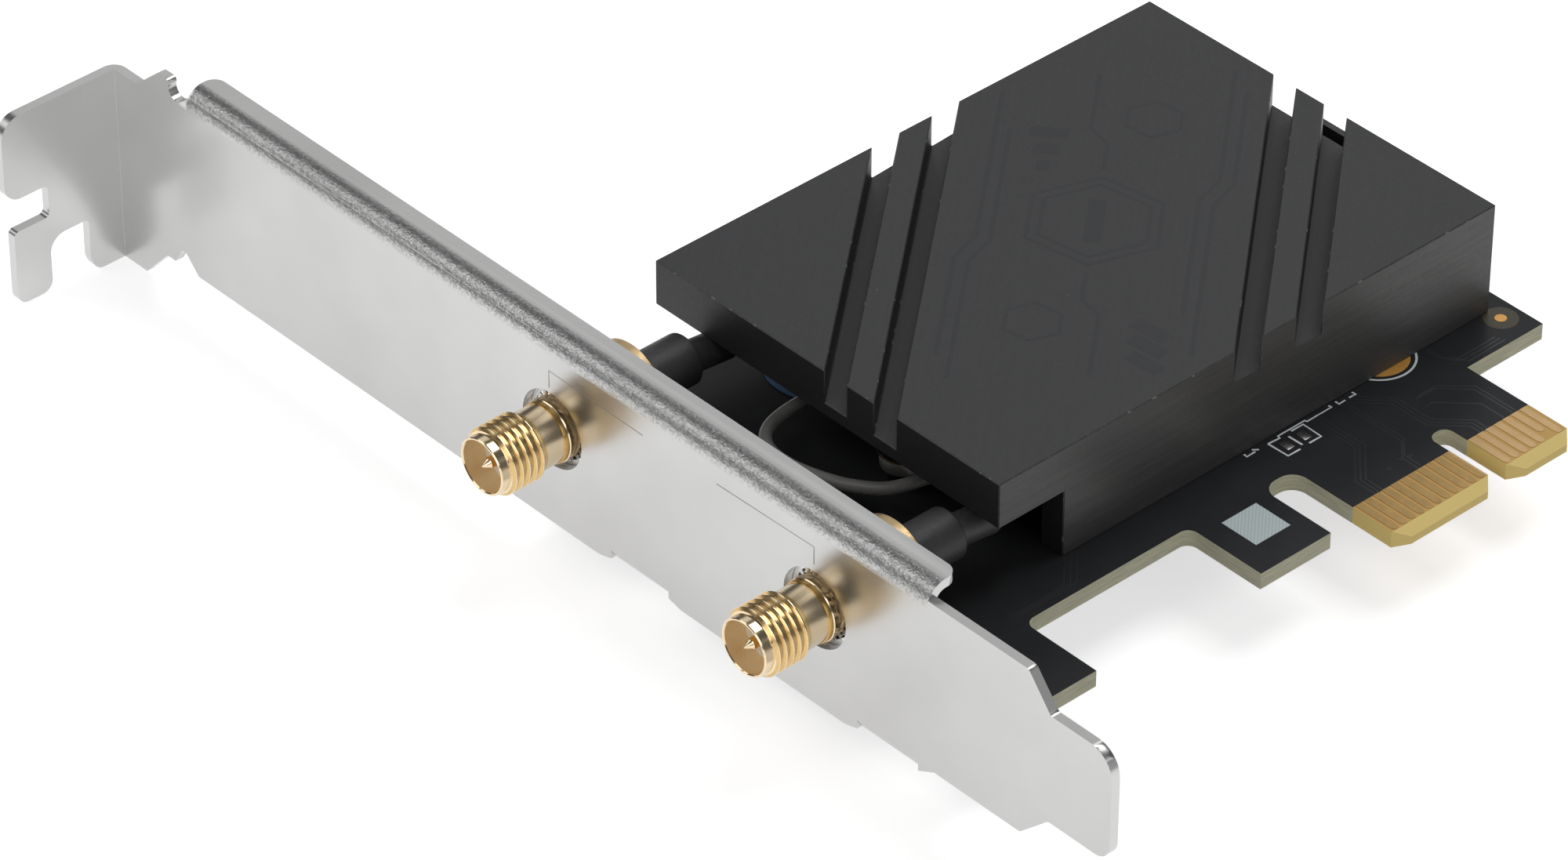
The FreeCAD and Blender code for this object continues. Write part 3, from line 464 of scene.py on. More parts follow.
nickel = make_nickel()
print(nickel.name, len(nickel.node_tree.nodes), "nodes")

# %% [markdown]
# The heatsink is milled aluminium, anodised black. The cutter left fine streaks along the slots on top
# and along the walls at the sides, and its sharp edges have lost specks of their black. One black for
# all could do, but light and shade are painted in by the way a face looks: the slots' walls get a
# darker black as painted shade, and the sides and the slots' floors a paler one as painted light. So
# one function makes a finish from two blacks, the streaks' angle and the amount of wear.

# %% Black anodising
TOP_BLACK = (0.025, 0.026, 0.0285)
TOP_PALE = (0.029, 0.030, 0.0325)
# Paler blacks on the sides and the slots' floors are painted light, darker ones on the walls painted shade.
SIDE_BLACK = (0.042, 0.042, 0.042)
SIDE_PALE = (0.062, 0.062, 0.061)
WALL_BLACK = (0.013, 0.013, 0.013)
WALL_PALE = (0.020, 0.020, 0.020)
FLOOR_BLACK = (0.034, 0.0345, 0.0355)
FLOOR_PALE = (0.041, 0.0415, 0.0425)
SLOT_FLOOR = 7.7 * MM
WORN_METAL = (0.16, 0.16, 0.155)
SLOT_FALL = 1.181
SLOT_ANGLE = math.atan(SLOT_FALL)
FEW_SPECKS = (160.0, 0.012)
MANY_SPECKS = (900.0, 0.22)
STREAK_SCALE, STREAK_STRETCH = 2600.0, (0.04, 1, 1)
MATT_SCALE, MATT = 3000.0, (0.38, 0.5)


def make_anodised(name, dark, pale, streaks, wear=FEW_SPECKS):
    material = new_finish(name, dark, 0.42)
    tree = material.node_tree
    shader = shader_of(material)
    milled = object_coordinates(tree, rotation=streaks, stretch=STREAK_STRETCH)
    fine = object_coordinates(tree)
    streak = grain(tree, milled, STREAK_SCALE)
    base = mix_colour(tree, streak, dark, pale)
    lost = specks(tree, fine, *wear)
    tree.links.new(mix_colour(tree, lost, base, WORN_METAL), shader.inputs["Base Color"])
    tree.links.new(grain(tree, fine, MATT_SCALE, *MATT), shader.inputs["Roughness"])
    bump(tree, shader, streak, 0.12, FINE_DEPTH)
    return material


anodised = make_anodised("black_anodising", TOP_BLACK, TOP_PALE, SLOT_ANGLE)
side_painted_light = make_anodised("side_painted_light", SIDE_BLACK, SIDE_PALE, math.pi / 2)
slot_wall_painted_shade = make_anodised("slot_wall_painted_shade", WALL_BLACK, WALL_PALE, SLOT_ANGLE)
slot_floor = make_anodised("slot_floor", FLOOR_BLACK, FLOOR_PALE, SLOT_ANGLE)
worn_edge = make_anodised("worn_anodised_edge", TOP_PALE, SIDE_PALE, SLOT_ANGLE, MANY_SPECKS)
print("heatsink finishes, with streaks at", round(math.degrees(SLOT_ANGLE), 1), "degrees on top")

# %% [markdown]
# The board is glass fibre laminate under a black lacquer. Its cut edges and the strip with the
# contacts have no lacquer, so the yellow laminate shows there. The faces could have two materials, but
# then the board would need a cut along the strip, so one material covers both: it takes the laminate's
# colour where a face isn't level, and beyond the line where the lacquer ends.

# %% Board
LACQUER = (0.0255, 0.0268, 0.0292)
LACQUER_PALE = (0.0305, 0.0315, 0.0340)
EDGE_OLIVE = (0.47, 0.46, 0.34)
EDGE_PALE = (0.66, 0.64, 0.475)
STRIP_AMBER = (0.68, 0.43, 0.15)
BEVEL_YELLOW = (0.86, 0.66, 0.25)
LACQUER_END = 29.88 * MM
STRIP_FRONT = 44.0 * MM
LEVEL_NORMAL = 0.985
PLY_SCALE, PLY_STRETCH = 1800.0, (0.25, 0.25, 4.0)
CLOUD_SCALE, RIPPLE_SCALE = 300.0, 900.0
LACQUER_ROUGHNESS, LAMINATE_ROUGHNESS = 0.3, 0.55


def make_board_finish():
    material = new_finish("black_board", LACQUER, 0.32, Specular_IOR_Level=0.14)
    tree = material.node_tree
    shader = shader_of(material)
    place = object_coordinates(tree)
    where = split_vector(tree, place)
    surface = tree.nodes.new("ShaderNodeNewGeometry")
    facing = split_vector(tree, surface.outputs["True Normal"])
    steepness = calculate(tree, facing["Z"], "ABSOLUTE", 0.0)
    cut_edge = calculate(tree, steepness, "LESS_THAN", LEVEL_NORMAL)
    beyond = calculate(tree, where["X"], "GREATER_THAN", LACQUER_END)
    along = calculate(tree, where["Y"], "GREATER_THAN", STRIP_FRONT)
    strip = calculate(tree, beyond, "MULTIPLY", along)
    bare = calculate(tree, cut_edge, "MAXIMUM", strip)
    ply = grain(tree, object_coordinates(tree, stretch=PLY_STRETCH), PLY_SCALE)
    edge_colour = mix_colour(tree, ply, EDGE_OLIVE, EDGE_PALE)
    strip_colour = mix_colour(tree, cut_edge, STRIP_AMBER, BEVEL_YELLOW)
    laminate = mix_colour(tree, strip, edge_colour, strip_colour)
    drift = grain(tree, place, CLOUD_SCALE)
    lacquer = mix_colour(tree, drift, LACQUER, LACQUER_PALE)
    tree.links.new(mix_colour(tree, bare, lacquer, laminate), shader.inputs["Base Color"])
    roughness = mix_number(tree, bare, LACQUER_ROUGHNESS, LAMINATE_ROUGHNESS)
    tree.links.new(roughness, shader.inputs["Roughness"])
    bump(tree, shader, grain(tree, place, RIPPLE_SCALE), 0.10, FINE_DEPTH)
    return material


board_finish = make_board_finish()
print("board lacquer ends at", LACQUER_END / MM, "mm")

# %% [markdown]
# The contacts are a thin orange plate over nickel. The longer row beyond the key looks duller and
# browner than the short one, so a mask that turns over at the key mixes two golds, and a soft noise
# clouds both.

# %% Contact gold
KEY_CENTRE = 55.9 * MM
CLEAN_GOLD = ((0.74, 0.50, 0.25), (0.66, 0.44, 0.21))
USED_GOLD = ((0.60, 0.39, 0.15), (0.46, 0.31, 0.13))
CLEAN_ROUGHNESS, USED_ROUGHNESS = 0.38, 0.46
GOLD_CLOUD = 700.0


def make_contact_gold():
    material = new_finish("contact_gold", (0.60, 0.42, 0.22), 0.4, metallic=0.85)
    tree = material.node_tree
    shader = shader_of(material)
    place = object_coordinates(tree)
    before_key = calculate(tree, split_vector(tree, place)["Y"], "LESS_THAN", KEY_CENTRE)
    cloud = grain(tree, place, GOLD_CLOUD)
    clean = mix_colour(tree, cloud, *CLEAN_GOLD)
    used = mix_colour(tree, cloud, *USED_GOLD)
    tree.links.new(mix_colour(tree, before_key, clean, used), shader.inputs["Base Color"])
    roughness = mix_number(tree, before_key, CLEAN_ROUGHNESS, USED_ROUGHNESS)
    tree.links.new(roughness, shader.inputs["Roughness"])
    return material


contact_gold = make_contact_gold()
print(contact_gold.name, "changes at", round(KEY_CENTRE / MM, 1), "mm")

# %% [markdown]
# The jacks, pins, screws and pads are plated, and solder and tin are bare. All of them are a metal
# whose tint and roughness drift slightly. A plain metal would look too perfect at this distance, while
# scratches would be too much for new parts. Grooves and bores mirror their own gold again and again,
# and instead of many more light bounces that light is painted: a deeper tint in the grooves as painted
# reflection, and a paler, partly diffuse one in the bores as painted light.

# %% Plated metals
def make_metal(name, colour, dull, roughness, scale=700.0, rough_scale=2500.0, metallic=1.0):
    material = new_finish(name, colour, roughness, metallic=metallic)
    tree = material.node_tree
    shader = shader_of(material)
    place = object_coordinates(tree)
    drift = grain(tree, place, scale)
    tree.links.new(mix_colour(tree, drift, colour, dull), shader.inputs["Base Color"])
    rough = grain(tree, place, rough_scale, roughness * 0.8, roughness * 1.25)
    tree.links.new(rough, shader.inputs["Roughness"])
    return material


pin_gold = make_metal("pin_gold", (0.88, 0.57, 0.20), (0.82, 0.50, 0.16), 0.2)
jack_gold = make_metal("jack_gold", (0.84, 0.69, 0.48), (0.80, 0.64, 0.42), 0.15)
groove_painted_reflection = make_metal("thread_groove_painted_reflection", (0.74, 0.52, 0.24), (0.66, 0.45, 0.19), 0.24)
bore_painted_light = make_metal("bore_painted_light", (0.96, 0.78, 0.50), (0.92, 0.72, 0.44), 0.36, metallic=0.6)
# Paler nickel for the washer, as painted light.
washer_painted_light = make_metal("washer_painted_light", (0.88, 0.88, 0.87), (0.80, 0.80, 0.79), 0.34)
# Darker gold for all of the barrel behind the sheet, as painted shade.
behind_sheet_painted_shade = make_metal("behind_sheet_painted_shade", (0.60, 0.45, 0.26), (0.52, 0.38, 0.20), 0.42)
# Amber for the band round the neck, as painted shade near the hole.
neck_band_painted_shade = make_metal("neck_band_painted_shade", (0.70, 0.46, 0.17), (0.62, 0.40, 0.14), 0.3)
# The pads' gold is bright and partly diffuse, a painted reflection.
pad_gold_painted_reflection = make_metal("pad_gold_painted_reflection", (0.95, 0.52, 0.13), (0.85, 0.42, 0.09), 0.35, metallic=0.35)
steel = make_metal("screw_nickel", (0.60, 0.60, 0.60), (0.50, 0.50, 0.51), 0.22)
tin = make_metal("tin_plate", (0.70, 0.70, 0.69), (0.60, 0.60, 0.60), 0.28)
post_tin = make_metal("post_tin", (0.52, 0.52, 0.49), (0.44, 0.44, 0.42), 0.48)
solder = make_metal("solder", (0.62, 0.62, 0.62), (0.50, 0.50, 0.50), 0.24)
# Darker nickel for the stamped lines, as painted shade of their grooves.
stamp_painted_shade = make_metal("stamp_painted_shade", (0.36, 0.36, 0.35), (0.28, 0.28, 0.28), 0.45)
# Black for the module's screw, and as painted shade on the post below its flange.
black_screw_and_post_shade = make_metal("black_screw_and_painted_shade", (0.060, 0.055, 0.050), (0.045, 0.042, 0.040), 0.35)
print("plated and bare metals, the last one", black_screw_and_post_shade.name)

# %% [markdown]
# Plastic, rubber, paper, lacquer and print have no metal, and their surface is slightly rough from the
# mould or the press. One fine noise tints it and lifts it a little, and a finer one varies the
# roughness. Subsurface light could soften the white insulator, but it is too small here to show it.

# %% Moulded and printed surfaces
def make_moulded(name, colour, pale, roughness, scale=2200.0, strength=0.2):
    material = new_finish(name, colour, roughness)
    tree = material.node_tree
    shader = shader_of(material)
    place = object_coordinates(tree)
    texture = grain(tree, place, scale)
    tree.links.new(mix_colour(tree, texture, colour, pale), shader.inputs["Base Color"])
    rough = grain(tree, place, scale * 1.7, roughness * 0.9, roughness * 1.1)
    tree.links.new(rough, shader.inputs["Roughness"])
    bump(tree, shader, texture, strength, FINE_DEPTH)
    return material


black_plastic = make_moulded("black_moulding", (0.016, 0.016, 0.017), (0.024, 0.024, 0.026), 0.5)
black_rubber = make_moulded("black_sleeve", (0.024, 0.024, 0.026), (0.034, 0.034, 0.036), 0.5)
sleeve_black = make_moulded("lead_sleeve", (0.046, 0.045, 0.049), (0.058, 0.057, 0.061), 0.5)
white_plastic = make_moulded("white_insulator", (0.90, 0.86, 0.76), (0.85, 0.80, 0.70), 0.45)
lead_jacket = make_moulded("grey_jacket", (0.185, 0.182, 0.176), (0.215, 0.212, 0.205), 0.38, strength=0.06)
sticker_blue = make_moulded("blue_paper", (0.065, 0.19, 0.46), (0.09, 0.24, 0.52), 0.55)
green_board = make_moulded("green_board", (0.012, 0.07, 0.035), (0.02, 0.09, 0.045), 0.35, scale=500.0)
silicone = make_moulded("thermal_silicone", (0.34, 0.38, 0.43), (0.30, 0.34, 0.40), 0.8)
ceramic = make_moulded("brown_ceramic", (0.30, 0.21, 0.14), (0.36, 0.26, 0.18), 0.5)
print_white = make_moulded("white_print", (0.84, 0.90, 0.90), (0.70, 0.76, 0.77), 0.6, scale=3500.0)
lacquer_relief = make_moulded("lacquered_copper", (0.025, 0.0258, 0.0275), (0.028, 0.029, 0.0305), 0.3,
                              scale=900.0, strength=0.03)
header_black = make_moulded("header_moulding", (0.034, 0.035, 0.038), (0.040, 0.041, 0.044), 0.45)
print(len(bpy.data.materials), "finishes so far")

# %% [markdown]
# The white square on the board is solid print whose screen left a fine diagonal hatch. It could be
# many thin lines of real geometry, but they would be finer than a pixel, so a wave texture draws them.

# %% White square print
HATCH_TURN = math.radians(-42.5)
HATCH_SCALE = 1150.0


def make_square_print():
    material = new_finish("white_square_print", (0.58, 0.66, 0.67), 0.6)
    tree = material.node_tree
    hatch = tree.nodes.new("ShaderNodeTexWave")
    hatch.inputs["Scale"].default_value = HATCH_SCALE
    tree.links.new(object_coordinates(tree, rotation=HATCH_TURN), hatch.inputs["Vector"])
    line = mix_colour(tree, hatch.outputs["Fac"], (0.52, 0.60, 0.61), (0.64, 0.72, 0.73))
    tree.links.new(line, shader_of(material).inputs["Base Color"])
    return material


square_white = make_square_print()
print(square_white.name)

# %% [markdown]
# A shape is built as a bmesh and becomes a piece in one place, so that every piece gets its sharp
# edges, its body and the solids that it stands for in the same way. A solid that needs no finer shape
# isn't rebuilt: it is only dressed with a finish.

# %% Pieces and dressed solids
def add_piece(name, bm, material, replaces=(), angle=35.0):
    mesh = bpy.data.meshes.new(name)
    bm.to_mesh(mesh)
    bm.free()
    mesh.shade_smooth()
    mesh.set_sharp_from_angle(angle=math.radians(angle))
    piece = bpy.data.objects.new(name, mesh)
    bpy.context.collection.objects.link(piece)
    mesh.materials.append(material)
    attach(piece, ROOT)
    if replaces:
        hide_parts(*replaces)
    return piece


def dress(node, material):
    thing = nodes[node]
    thing.data.materials.clear()
    thing.data.materials.append(material)


print("helpers add_piece, dress")

# %% [markdown]
# The heatsink keeps its shape, but a milled block has hairline chamfers that catch the light. So it
# is copied, its flat faces are made whole, and every sharp edge gets a tiny bevel with the worn
# finish. A Bevel modifier could do that too, but an operator leaves real faces at once, and the others
# then take their finish by the direction in which they look, which paints light on the sides and the
# slots' floors and shade on the slots' walls.

# %% Heatsink
EDGE_SOFTENING = 0.09
SHARP = math.radians(50)
UPRIGHT, SLANTED, FACING = 0.5, 0.3, 0.9
NEAR_FLOOR = 0.3 * MM
SAME_PLANE = math.radians(0.6)


def merged_copy(node):
    """Copy of a solid's triangles as one joined mesh, with its flat faces whole again."""
    bm = bmesh.new()
    bm.from_mesh(nodes[node].data)
    bmesh.ops.remove_doubles(bm, verts=bm.verts, dist=1e-6)
    bmesh.ops.dissolve_limit(bm, angle_limit=SAME_PLANE, verts=bm.verts, edges=bm.edges)
    return bm


def pick_finishes(bm):
    """0 stays on the top and the front, 2 is a side with painted light, 3 a slanted wall with painted shade
    and 4 the floor of a slot with painted light.
    """
    for face in bm.faces:
        normal = face.normal
        if face.material_index == 0 and abs(normal.z) < UPRIGHT:
            slanted = min(abs(normal.x), abs(normal.y)) > SLANTED
            face.material_index = 3 if slanted else 0 if normal.y < -FACING else 2
        elif normal.z > FACING and abs(face.calc_center_median().z - SLOT_FLOOR) < NEAR_FLOOR:
            face.material_index = 4


def make_heatsink():
    bm = merged_copy("heatsink")
    sharp = [edge for edge in bm.edges if len(edge.link_faces) == 2 and edge.calc_face_angle() > SHARP]
    bmesh.ops.bevel(bm, geom=sharp, offset=EDGE_SOFTENING * MM, segments=1, affect="EDGES",
                    profile=0.5, material=1)
    pick_finishes(bm)
    piece = add_piece("heatsink_block", bm, anodised, replaces=["heatsink"], angle=20.0)
    for finish in (worn_edge, side_painted_light, slot_wall_painted_shade, slot_floor):
        piece.data.materials.append(finish)
    return piece


heatsink = make_heatsink()
print("heatsink", len(heatsink.data.polygons), "faces")

# %% [markdown]
# Most small pieces are turned or square. An outline spun round Z makes a turned one, as a lathe would,
# and a scaled cube with softened edges makes a square one. Both are built in millimetres near the
# origin, then moved to their place in the mesh itself, and merged where they belong to one piece.

# %% Turned shapes and blocks
SAME_POINT = 1e-7


def spin_profile(profile, steps=72):
    """Ring or solid round Z from (radius, height) points in millimetres."""
    bm = bmesh.new()
    points = [bm.verts.new((radius * MM, 0, height * MM)) for radius, height in profile]
    for first, second in zip(points, points[1:] + points[:1]):
        bm.edges.new((first, second))
    bmesh.ops.spin(bm, geom=bm.verts[:] + bm.edges[:], cent=(0, 0, 0), axis=(0, 0, 1),
                   angle=math.tau, steps=steps, use_merge=True)
    bmesh.ops.remove_doubles(bm, verts=bm.verts, dist=SAME_POINT)
    bmesh.ops.delete(bm, geom=[edge for edge in bm.edges if not edge.link_faces], context="EDGES")
    bmesh.ops.recalc_face_normals(bm, faces=bm.faces)
    return bm


def move(bm, x=0.0, y=0.0, z=0.0):
    bmesh.ops.translate(bm, verts=bm.verts, vec=(x * MM, y * MM, z * MM))
    return bm


def merge(target, source):
    mesh = bpy.data.meshes.new("part")
    source.to_mesh(mesh)
    source.free()
    target.from_mesh(mesh)
    bpy.data.meshes.remove(mesh)
    return target


def block(left, front, low, right, back, high, soften=0.0):
    bm = bmesh.new()
    bmesh.ops.create_cube(bm, size=1.0)
    size = Vector((right - left, back - front, high - low)) * MM
    middle = Vector((right + left, back + front, high + low)) * MM / 2
    bmesh.ops.scale(bm, vec=size, verts=bm.verts)
    bmesh.ops.translate(bm, vec=middle, verts=bm.verts)
    if soften:
        bmesh.ops.bevel(bm, geom=bm.edges[:], offset=soften * MM, segments=2, affect="EDGES",
                        profile=0.5, material=-1)
    return bm


print("helpers spin_profile, move, merge, block")

# %% [markdown]
# Each jack is turned brass with a gold plate, and its thread is what the eye meets first. A true thread
# is a helix, but its rise is only a pitch per turn, and the photograph shows plain bands. So the
# thread is a row of ridges in the outline that is spun, each with a narrow flat on top.

# %% Thread of the jacks
JACK_ACROSS = 15.46
JACKS = {1: -JACK_ACROSS, 2: JACK_ACROSS}
JACK_HEIGHT = 5.28
THREAD_START = -6.48
THREAD_END = -2.75
THREAD_CREST = 3.0
THREAD_ROOT = 2.74
THREAD_PITCH = 0.72
SHOULDER = THREAD_CREST - 0.03
RIDGE = [
    (THREAD_ROOT, 0.0), (SHOULDER, 0.17), (THREAD_CREST, 0.2),
    (THREAD_CREST, 0.26), (SHOULDER, 0.29), (THREAD_ROOT, 0.46),
]


def thread_outline():
    """The ridge, again and again, with flat grooves between."""
    count = int((THREAD_END - THREAD_START) / THREAD_PITCH)
    starts = [THREAD_START + THREAD_PITCH * number for number in range(count)]
    return [(radius, start + step) for start in starts for radius, step in RIDGE]


print("thread of", len(thread_outline()) // len(RIDGE), "ridges")

# %% [markdown]
# The barrel is one turned piece: an open mouth round the bore, the thread, a plain neck that passes the
# bracket, and behind it a wide collar and the crimp. It could be stacked from cylinders, but one
# outline keeps the wall closed and its small roundings in their place.

# %% Outline of the barrel
BORE = 2.3
MOUTH = -7.4
MOUTH_RADIUS = 2.56
NECK = 2.61
NECK_END = -0.45
SHANK = 2.75
REAR_START = 1.15
REAR = 2.97
COLLAR_START = 6.9
COLLAR = 4.22
COLLAR_END = 8.6
CRIMP = 1.6
CRIMP_END = 12.9
ROUNDING = 0.12
LIP = 0.07


def barrel_outline():
    """(radius, depth) points from the bore's floor round the mouth and over the thread to the crimp."""
    front = [
        (BORE, COLLAR_START), (BORE, MOUTH + 0.1), (BORE + LIP, MOUTH),
        (MOUTH_RADIUS - LIP, MOUTH), (MOUTH_RADIUS, MOUTH + LIP),
        (MOUTH_RADIUS, THREAD_START - 0.06), (THREAD_ROOT, THREAD_START - 0.01),
    ]
    back = [
        (NECK, THREAD_END + 0.05), (NECK, NECK_END - 0.1), (SHANK - 0.04, NECK_END),
        (SHANK + 0.03, NECK_END + 0.08), (SHANK + 0.03, NECK_END + 0.45), (SHANK, NECK_END + 0.5),
        (SHANK, REAR_START - 0.08), (REAR - 0.08, REAR_START), (REAR, REAR_START + 0.1),
        (REAR, COLLAR_START), (COLLAR - ROUNDING, COLLAR_START), (COLLAR, COLLAR_START + ROUNDING),
        (COLLAR, COLLAR_END - ROUNDING), (COLLAR - ROUNDING, COLLAR_END), (CRIMP, COLLAR_END),
        (CRIMP, CRIMP_END), (0, CRIMP_END), (0, COLLAR_START),
    ]
    return front + thread_outline() + back


print("outline of", len(barrel_outline()), "points")

# %% [markdown]
# Behind the bracket the barrel stands on a square foot with four legs, soldered into the board. Gold
# between the ridges mirrors gold, so the grooves take a deeper tint as painted reflection, and the bore
# a paler one as painted light. All that lies behind the sheet is duller, and darker as painted shade.
# Separate pieces could carry these tints, but they would leave seams in what is one solid part, so
# each face gets its material by its place.

# %% Barrels with their feet
FOOT_HALF = 3.1
FOOT_FRONT = 3.6
LEG = 0.5
LEG_SPREAD = 2.2
LEG_PLACES = (4.7, 7.4)
LEG_TOP, LEG_END = 0.1, -2.37
BEHIND_SHEET = 1.2
NEAR = 0.02
GROOVE_IN, GROOVE_OUT = BORE + 0.2, THREAD_CREST - 0.1


def lie_along_y(bm, across, height):
    """Turns a shape made round Z to point along Y, and sets it on a jack's axis."""
    bmesh.ops.rotate(bm, verts=bm.verts, cent=(0, 0, 0), matrix=Matrix.Rotation(math.radians(-90), 3, "X"))
    return move(bm, across, 0, height)


def tint_barrel(bm):
    """1 for the grooves' painted reflection and 3 for the bore's painted light, while the shape still lies
    on its own axis.
    """
    for face in bm.faces:
        middle = face.calc_center_median() / MM
        threaded = THREAD_START - NEAR < middle.y < THREAD_END
        radius = math.hypot(middle.x, middle.z)
        if threaded and GROOVE_IN < radius < GROOVE_OUT:
            face.material_index = 1
        elif radius < BORE + NEAR:
            face.material_index = 3


def add_foot(bm, across):
    """The block that the jack stands on, and its four legs through the board."""
    low, high = (across - FOOT_HALF, FOOT_FRONT, 0), (across + FOOT_HALF, COLLAR_END, JACK_HEIGHT - BORE)
    merge(bm, block(*low, *high, ROUNDING))
    leg = [(0, LEG_END), (LEG - ROUNDING, LEG_END), (LEG, LEG_END + ROUNDING), (LEG, LEG_TOP), (0, LEG_TOP)]
    for side in (-LEG_SPREAD, LEG_SPREAD):
        for along in LEG_PLACES:
            merge(bm, move(spin_profile(leg, 20), across + side, along))


def make_barrel(number, across):
    bm = lie_along_y(spin_profile(barrel_outline(), steps=96), 0, 0)
    tint_barrel(bm)
    move(bm, across, 0, JACK_HEIGHT)
    add_foot(bm, across)
    piece = add_piece(f"jack_{number}_threaded_barrel", bm, jack_gold,
                      replaces=[f"jack_{number}_barrel"], angle=28.0)
    for finish in (groove_painted_reflection, behind_sheet_painted_shade, bore_painted_light):
        piece.data.materials.append(finish)
    # Faces behind the sheet take the darker gold, as painted shade.
    for face in piece.data.polygons:
        if face.center.y > BEHIND_SHEET * MM:
            face.material_index = 2
    return piece


for number, across in JACKS.items():
    barrel = make_barrel(number, across)
    print(barrel.name, len(barrel.data.polygons), "faces")

# %% [markdown]
# A darker amber band shows round the neck where it enters the hole, as painted shade from the hole's
# edge. It is a thin ring of its own, because a tint on the neck would end in a soft line instead of a clean
# one.

# %% Neck rings
RING_FRONT = -0.92


def make_ring(number, across):
    outline = [(NECK - 0.1, RING_FRONT), (NECK + 0.05, RING_FRONT), (NECK + 0.09, RING_FRONT + 0.06),
               (NECK + 0.09, NECK_END), (NECK - 0.1, NECK_END)]
    bm = lie_along_y(spin_profile(outline), across, JACK_HEIGHT)
    return add_piece(f"jack_{number}_neck_ring", bm, neck_band_painted_shade)


for number, across in JACKS.items():
    print(make_ring(number, across).name)

# %% [markdown]
# Behind the sheet a toothed washer shows through the gap round the neck, and its nickel is paler than
# the bracket's as painted light. It could be cut from a sheet with a star-shaped hole, but its teeth
# are twisted, so a plain ring is spun first, and small slanted blocks are then set round its inside.

# %% Lock washers
WASHER_INNER, WASHER_OUTER = 2.8, 3.75
WASHER_FRONT, WASHER_BACK, WASHER_BAND = 0.9, 1.12, 0.65
TEETH = 22
TOOTH_LENGTH, TOOTH_HALF = 0.42, 0.13
TOOTH_FRONT, TOOTH_MIDDLE, TOOTH_BACK = 0.88, 1.0, 1.08
TOOTH_TWIST = math.radians(24)


def make_lock_washer(number, across):
    inner = WASHER_OUTER - WASHER_BAND
    ring = [(inner, WASHER_FRONT), (WASHER_OUTER, WASHER_FRONT), (WASHER_OUTER, WASHER_BACK),
            (inner, WASHER_BACK)]
    bm = spin_profile(ring, steps=44)
    tip = WASHER_INNER + TOOTH_LENGTH
    for step in range(TEETH):
        tooth = block(WASHER_INNER, -TOOTH_HALF, TOOTH_FRONT, tip, TOOTH_HALF, TOOTH_BACK)
        twist = Matrix.Rotation(TOOTH_TWIST, 3, "X")
        bmesh.ops.rotate(tooth, verts=tooth.verts, cent=(0, 0, TOOTH_MIDDLE * MM), matrix=twist)
        turn = Matrix.Rotation(math.tau * step / TEETH, 3, "Z")
        bmesh.ops.rotate(tooth, verts=tooth.verts, cent=(0, 0, 0), matrix=turn)
        merge(bm, tooth)
    bm = lie_along_y(bm, across, JACK_HEIGHT)
    return add_piece(f"jack_{number}_lock_washer", bm, washer_painted_light)


for number, across in JACKS.items():
    print(make_lock_washer(number, across).name, "with", TEETH, "teeth")

# %% [markdown]
# In each bore a pin with a cone at its tip stands in a white insulator. The pin's shape shows in the
# mouth, so it is turned again with a fine tip. The insulator is a plain disc, so its solid stays.

# %% Pins and insulators
PIN = 0.5
PIN_TIP = -7.36
PIN_CONE = -6.68


def make_pin(number, across):
    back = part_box(f"jack_{number}_pin")[1].y / MM
    outline = [(0, back), (PIN, back), (PIN, PIN_CONE), (PIN - 0.08, PIN_CONE - 0.06),
               (0.06, PIN_TIP + 0.04), (0, PIN_TIP)]
    bm = lie_along_y(spin_profile(outline, steps=36), across, JACK_HEIGHT)
    for face in bm.faces:
        if face.calc_center_median().y < PIN_CONE * MM:
            face.material_index = 1
    piece = add_piece(f"jack_{number}_pointed_pin", bm, pin_gold,
                      replaces=[f"jack_{number}_pin"])
    piece.data.materials.append(jack_gold)
    return piece


for number, across in JACKS.items():
    print(make_pin(number, across).name)
    dress(f"jack_{number}_insulator", white_plastic)

# %% [markdown]
# A rubber boot covers each crimp, and a thinner sleeve stiffens the lead behind it. The boot has a soft
# rounded end. A bevel could round it, but the arc is part of the outline that is spun, which keeps its
# size apart from the number of steps. The sleeve's solid stays as it is.

# %% Boots
BOOT = 2.3
BOOT_BORE = 1.68
BOOT_END = 14.2
BOOT_ROUNDING = 0.25


def rounded_end(radius, end, rounding, steps=5):
    """Points of a quarter circle from the outside of a tube round to its end face."""
    return [(radius - rounding + rounding * math.cos(turn), end - rounding + rounding * math.sin(turn))
            for turn in (math.pi / 2 * step / steps for step in range(steps + 1))]


def make_boot(number, across):
    outline = [(BOOT_BORE, COLLAR_END), (BOOT, COLLAR_END)]
    outline += rounded_end(BOOT, BOOT_END, BOOT_ROUNDING)
    outline.append((BOOT_BORE, BOOT_END))
    bm = lie_along_y(spin_profile(outline), across, JACK_HEIGHT)
    return add_piece(f"jack_{number}_rubber_boot", bm, black_rubber,
                     replaces=[f"jack_{number}_boot"])


for number, across in JACKS.items():
    print(make_boot(number, across).name)
    dress(f"jack_{number}_lead_sleeve", sleeve_black)

# %% [markdown]
# The two leads are thin coax. Both ends are held, so a simulated cord would have nothing to decide.
# Each follows a short list of given points, as one smooth spline with a round section.

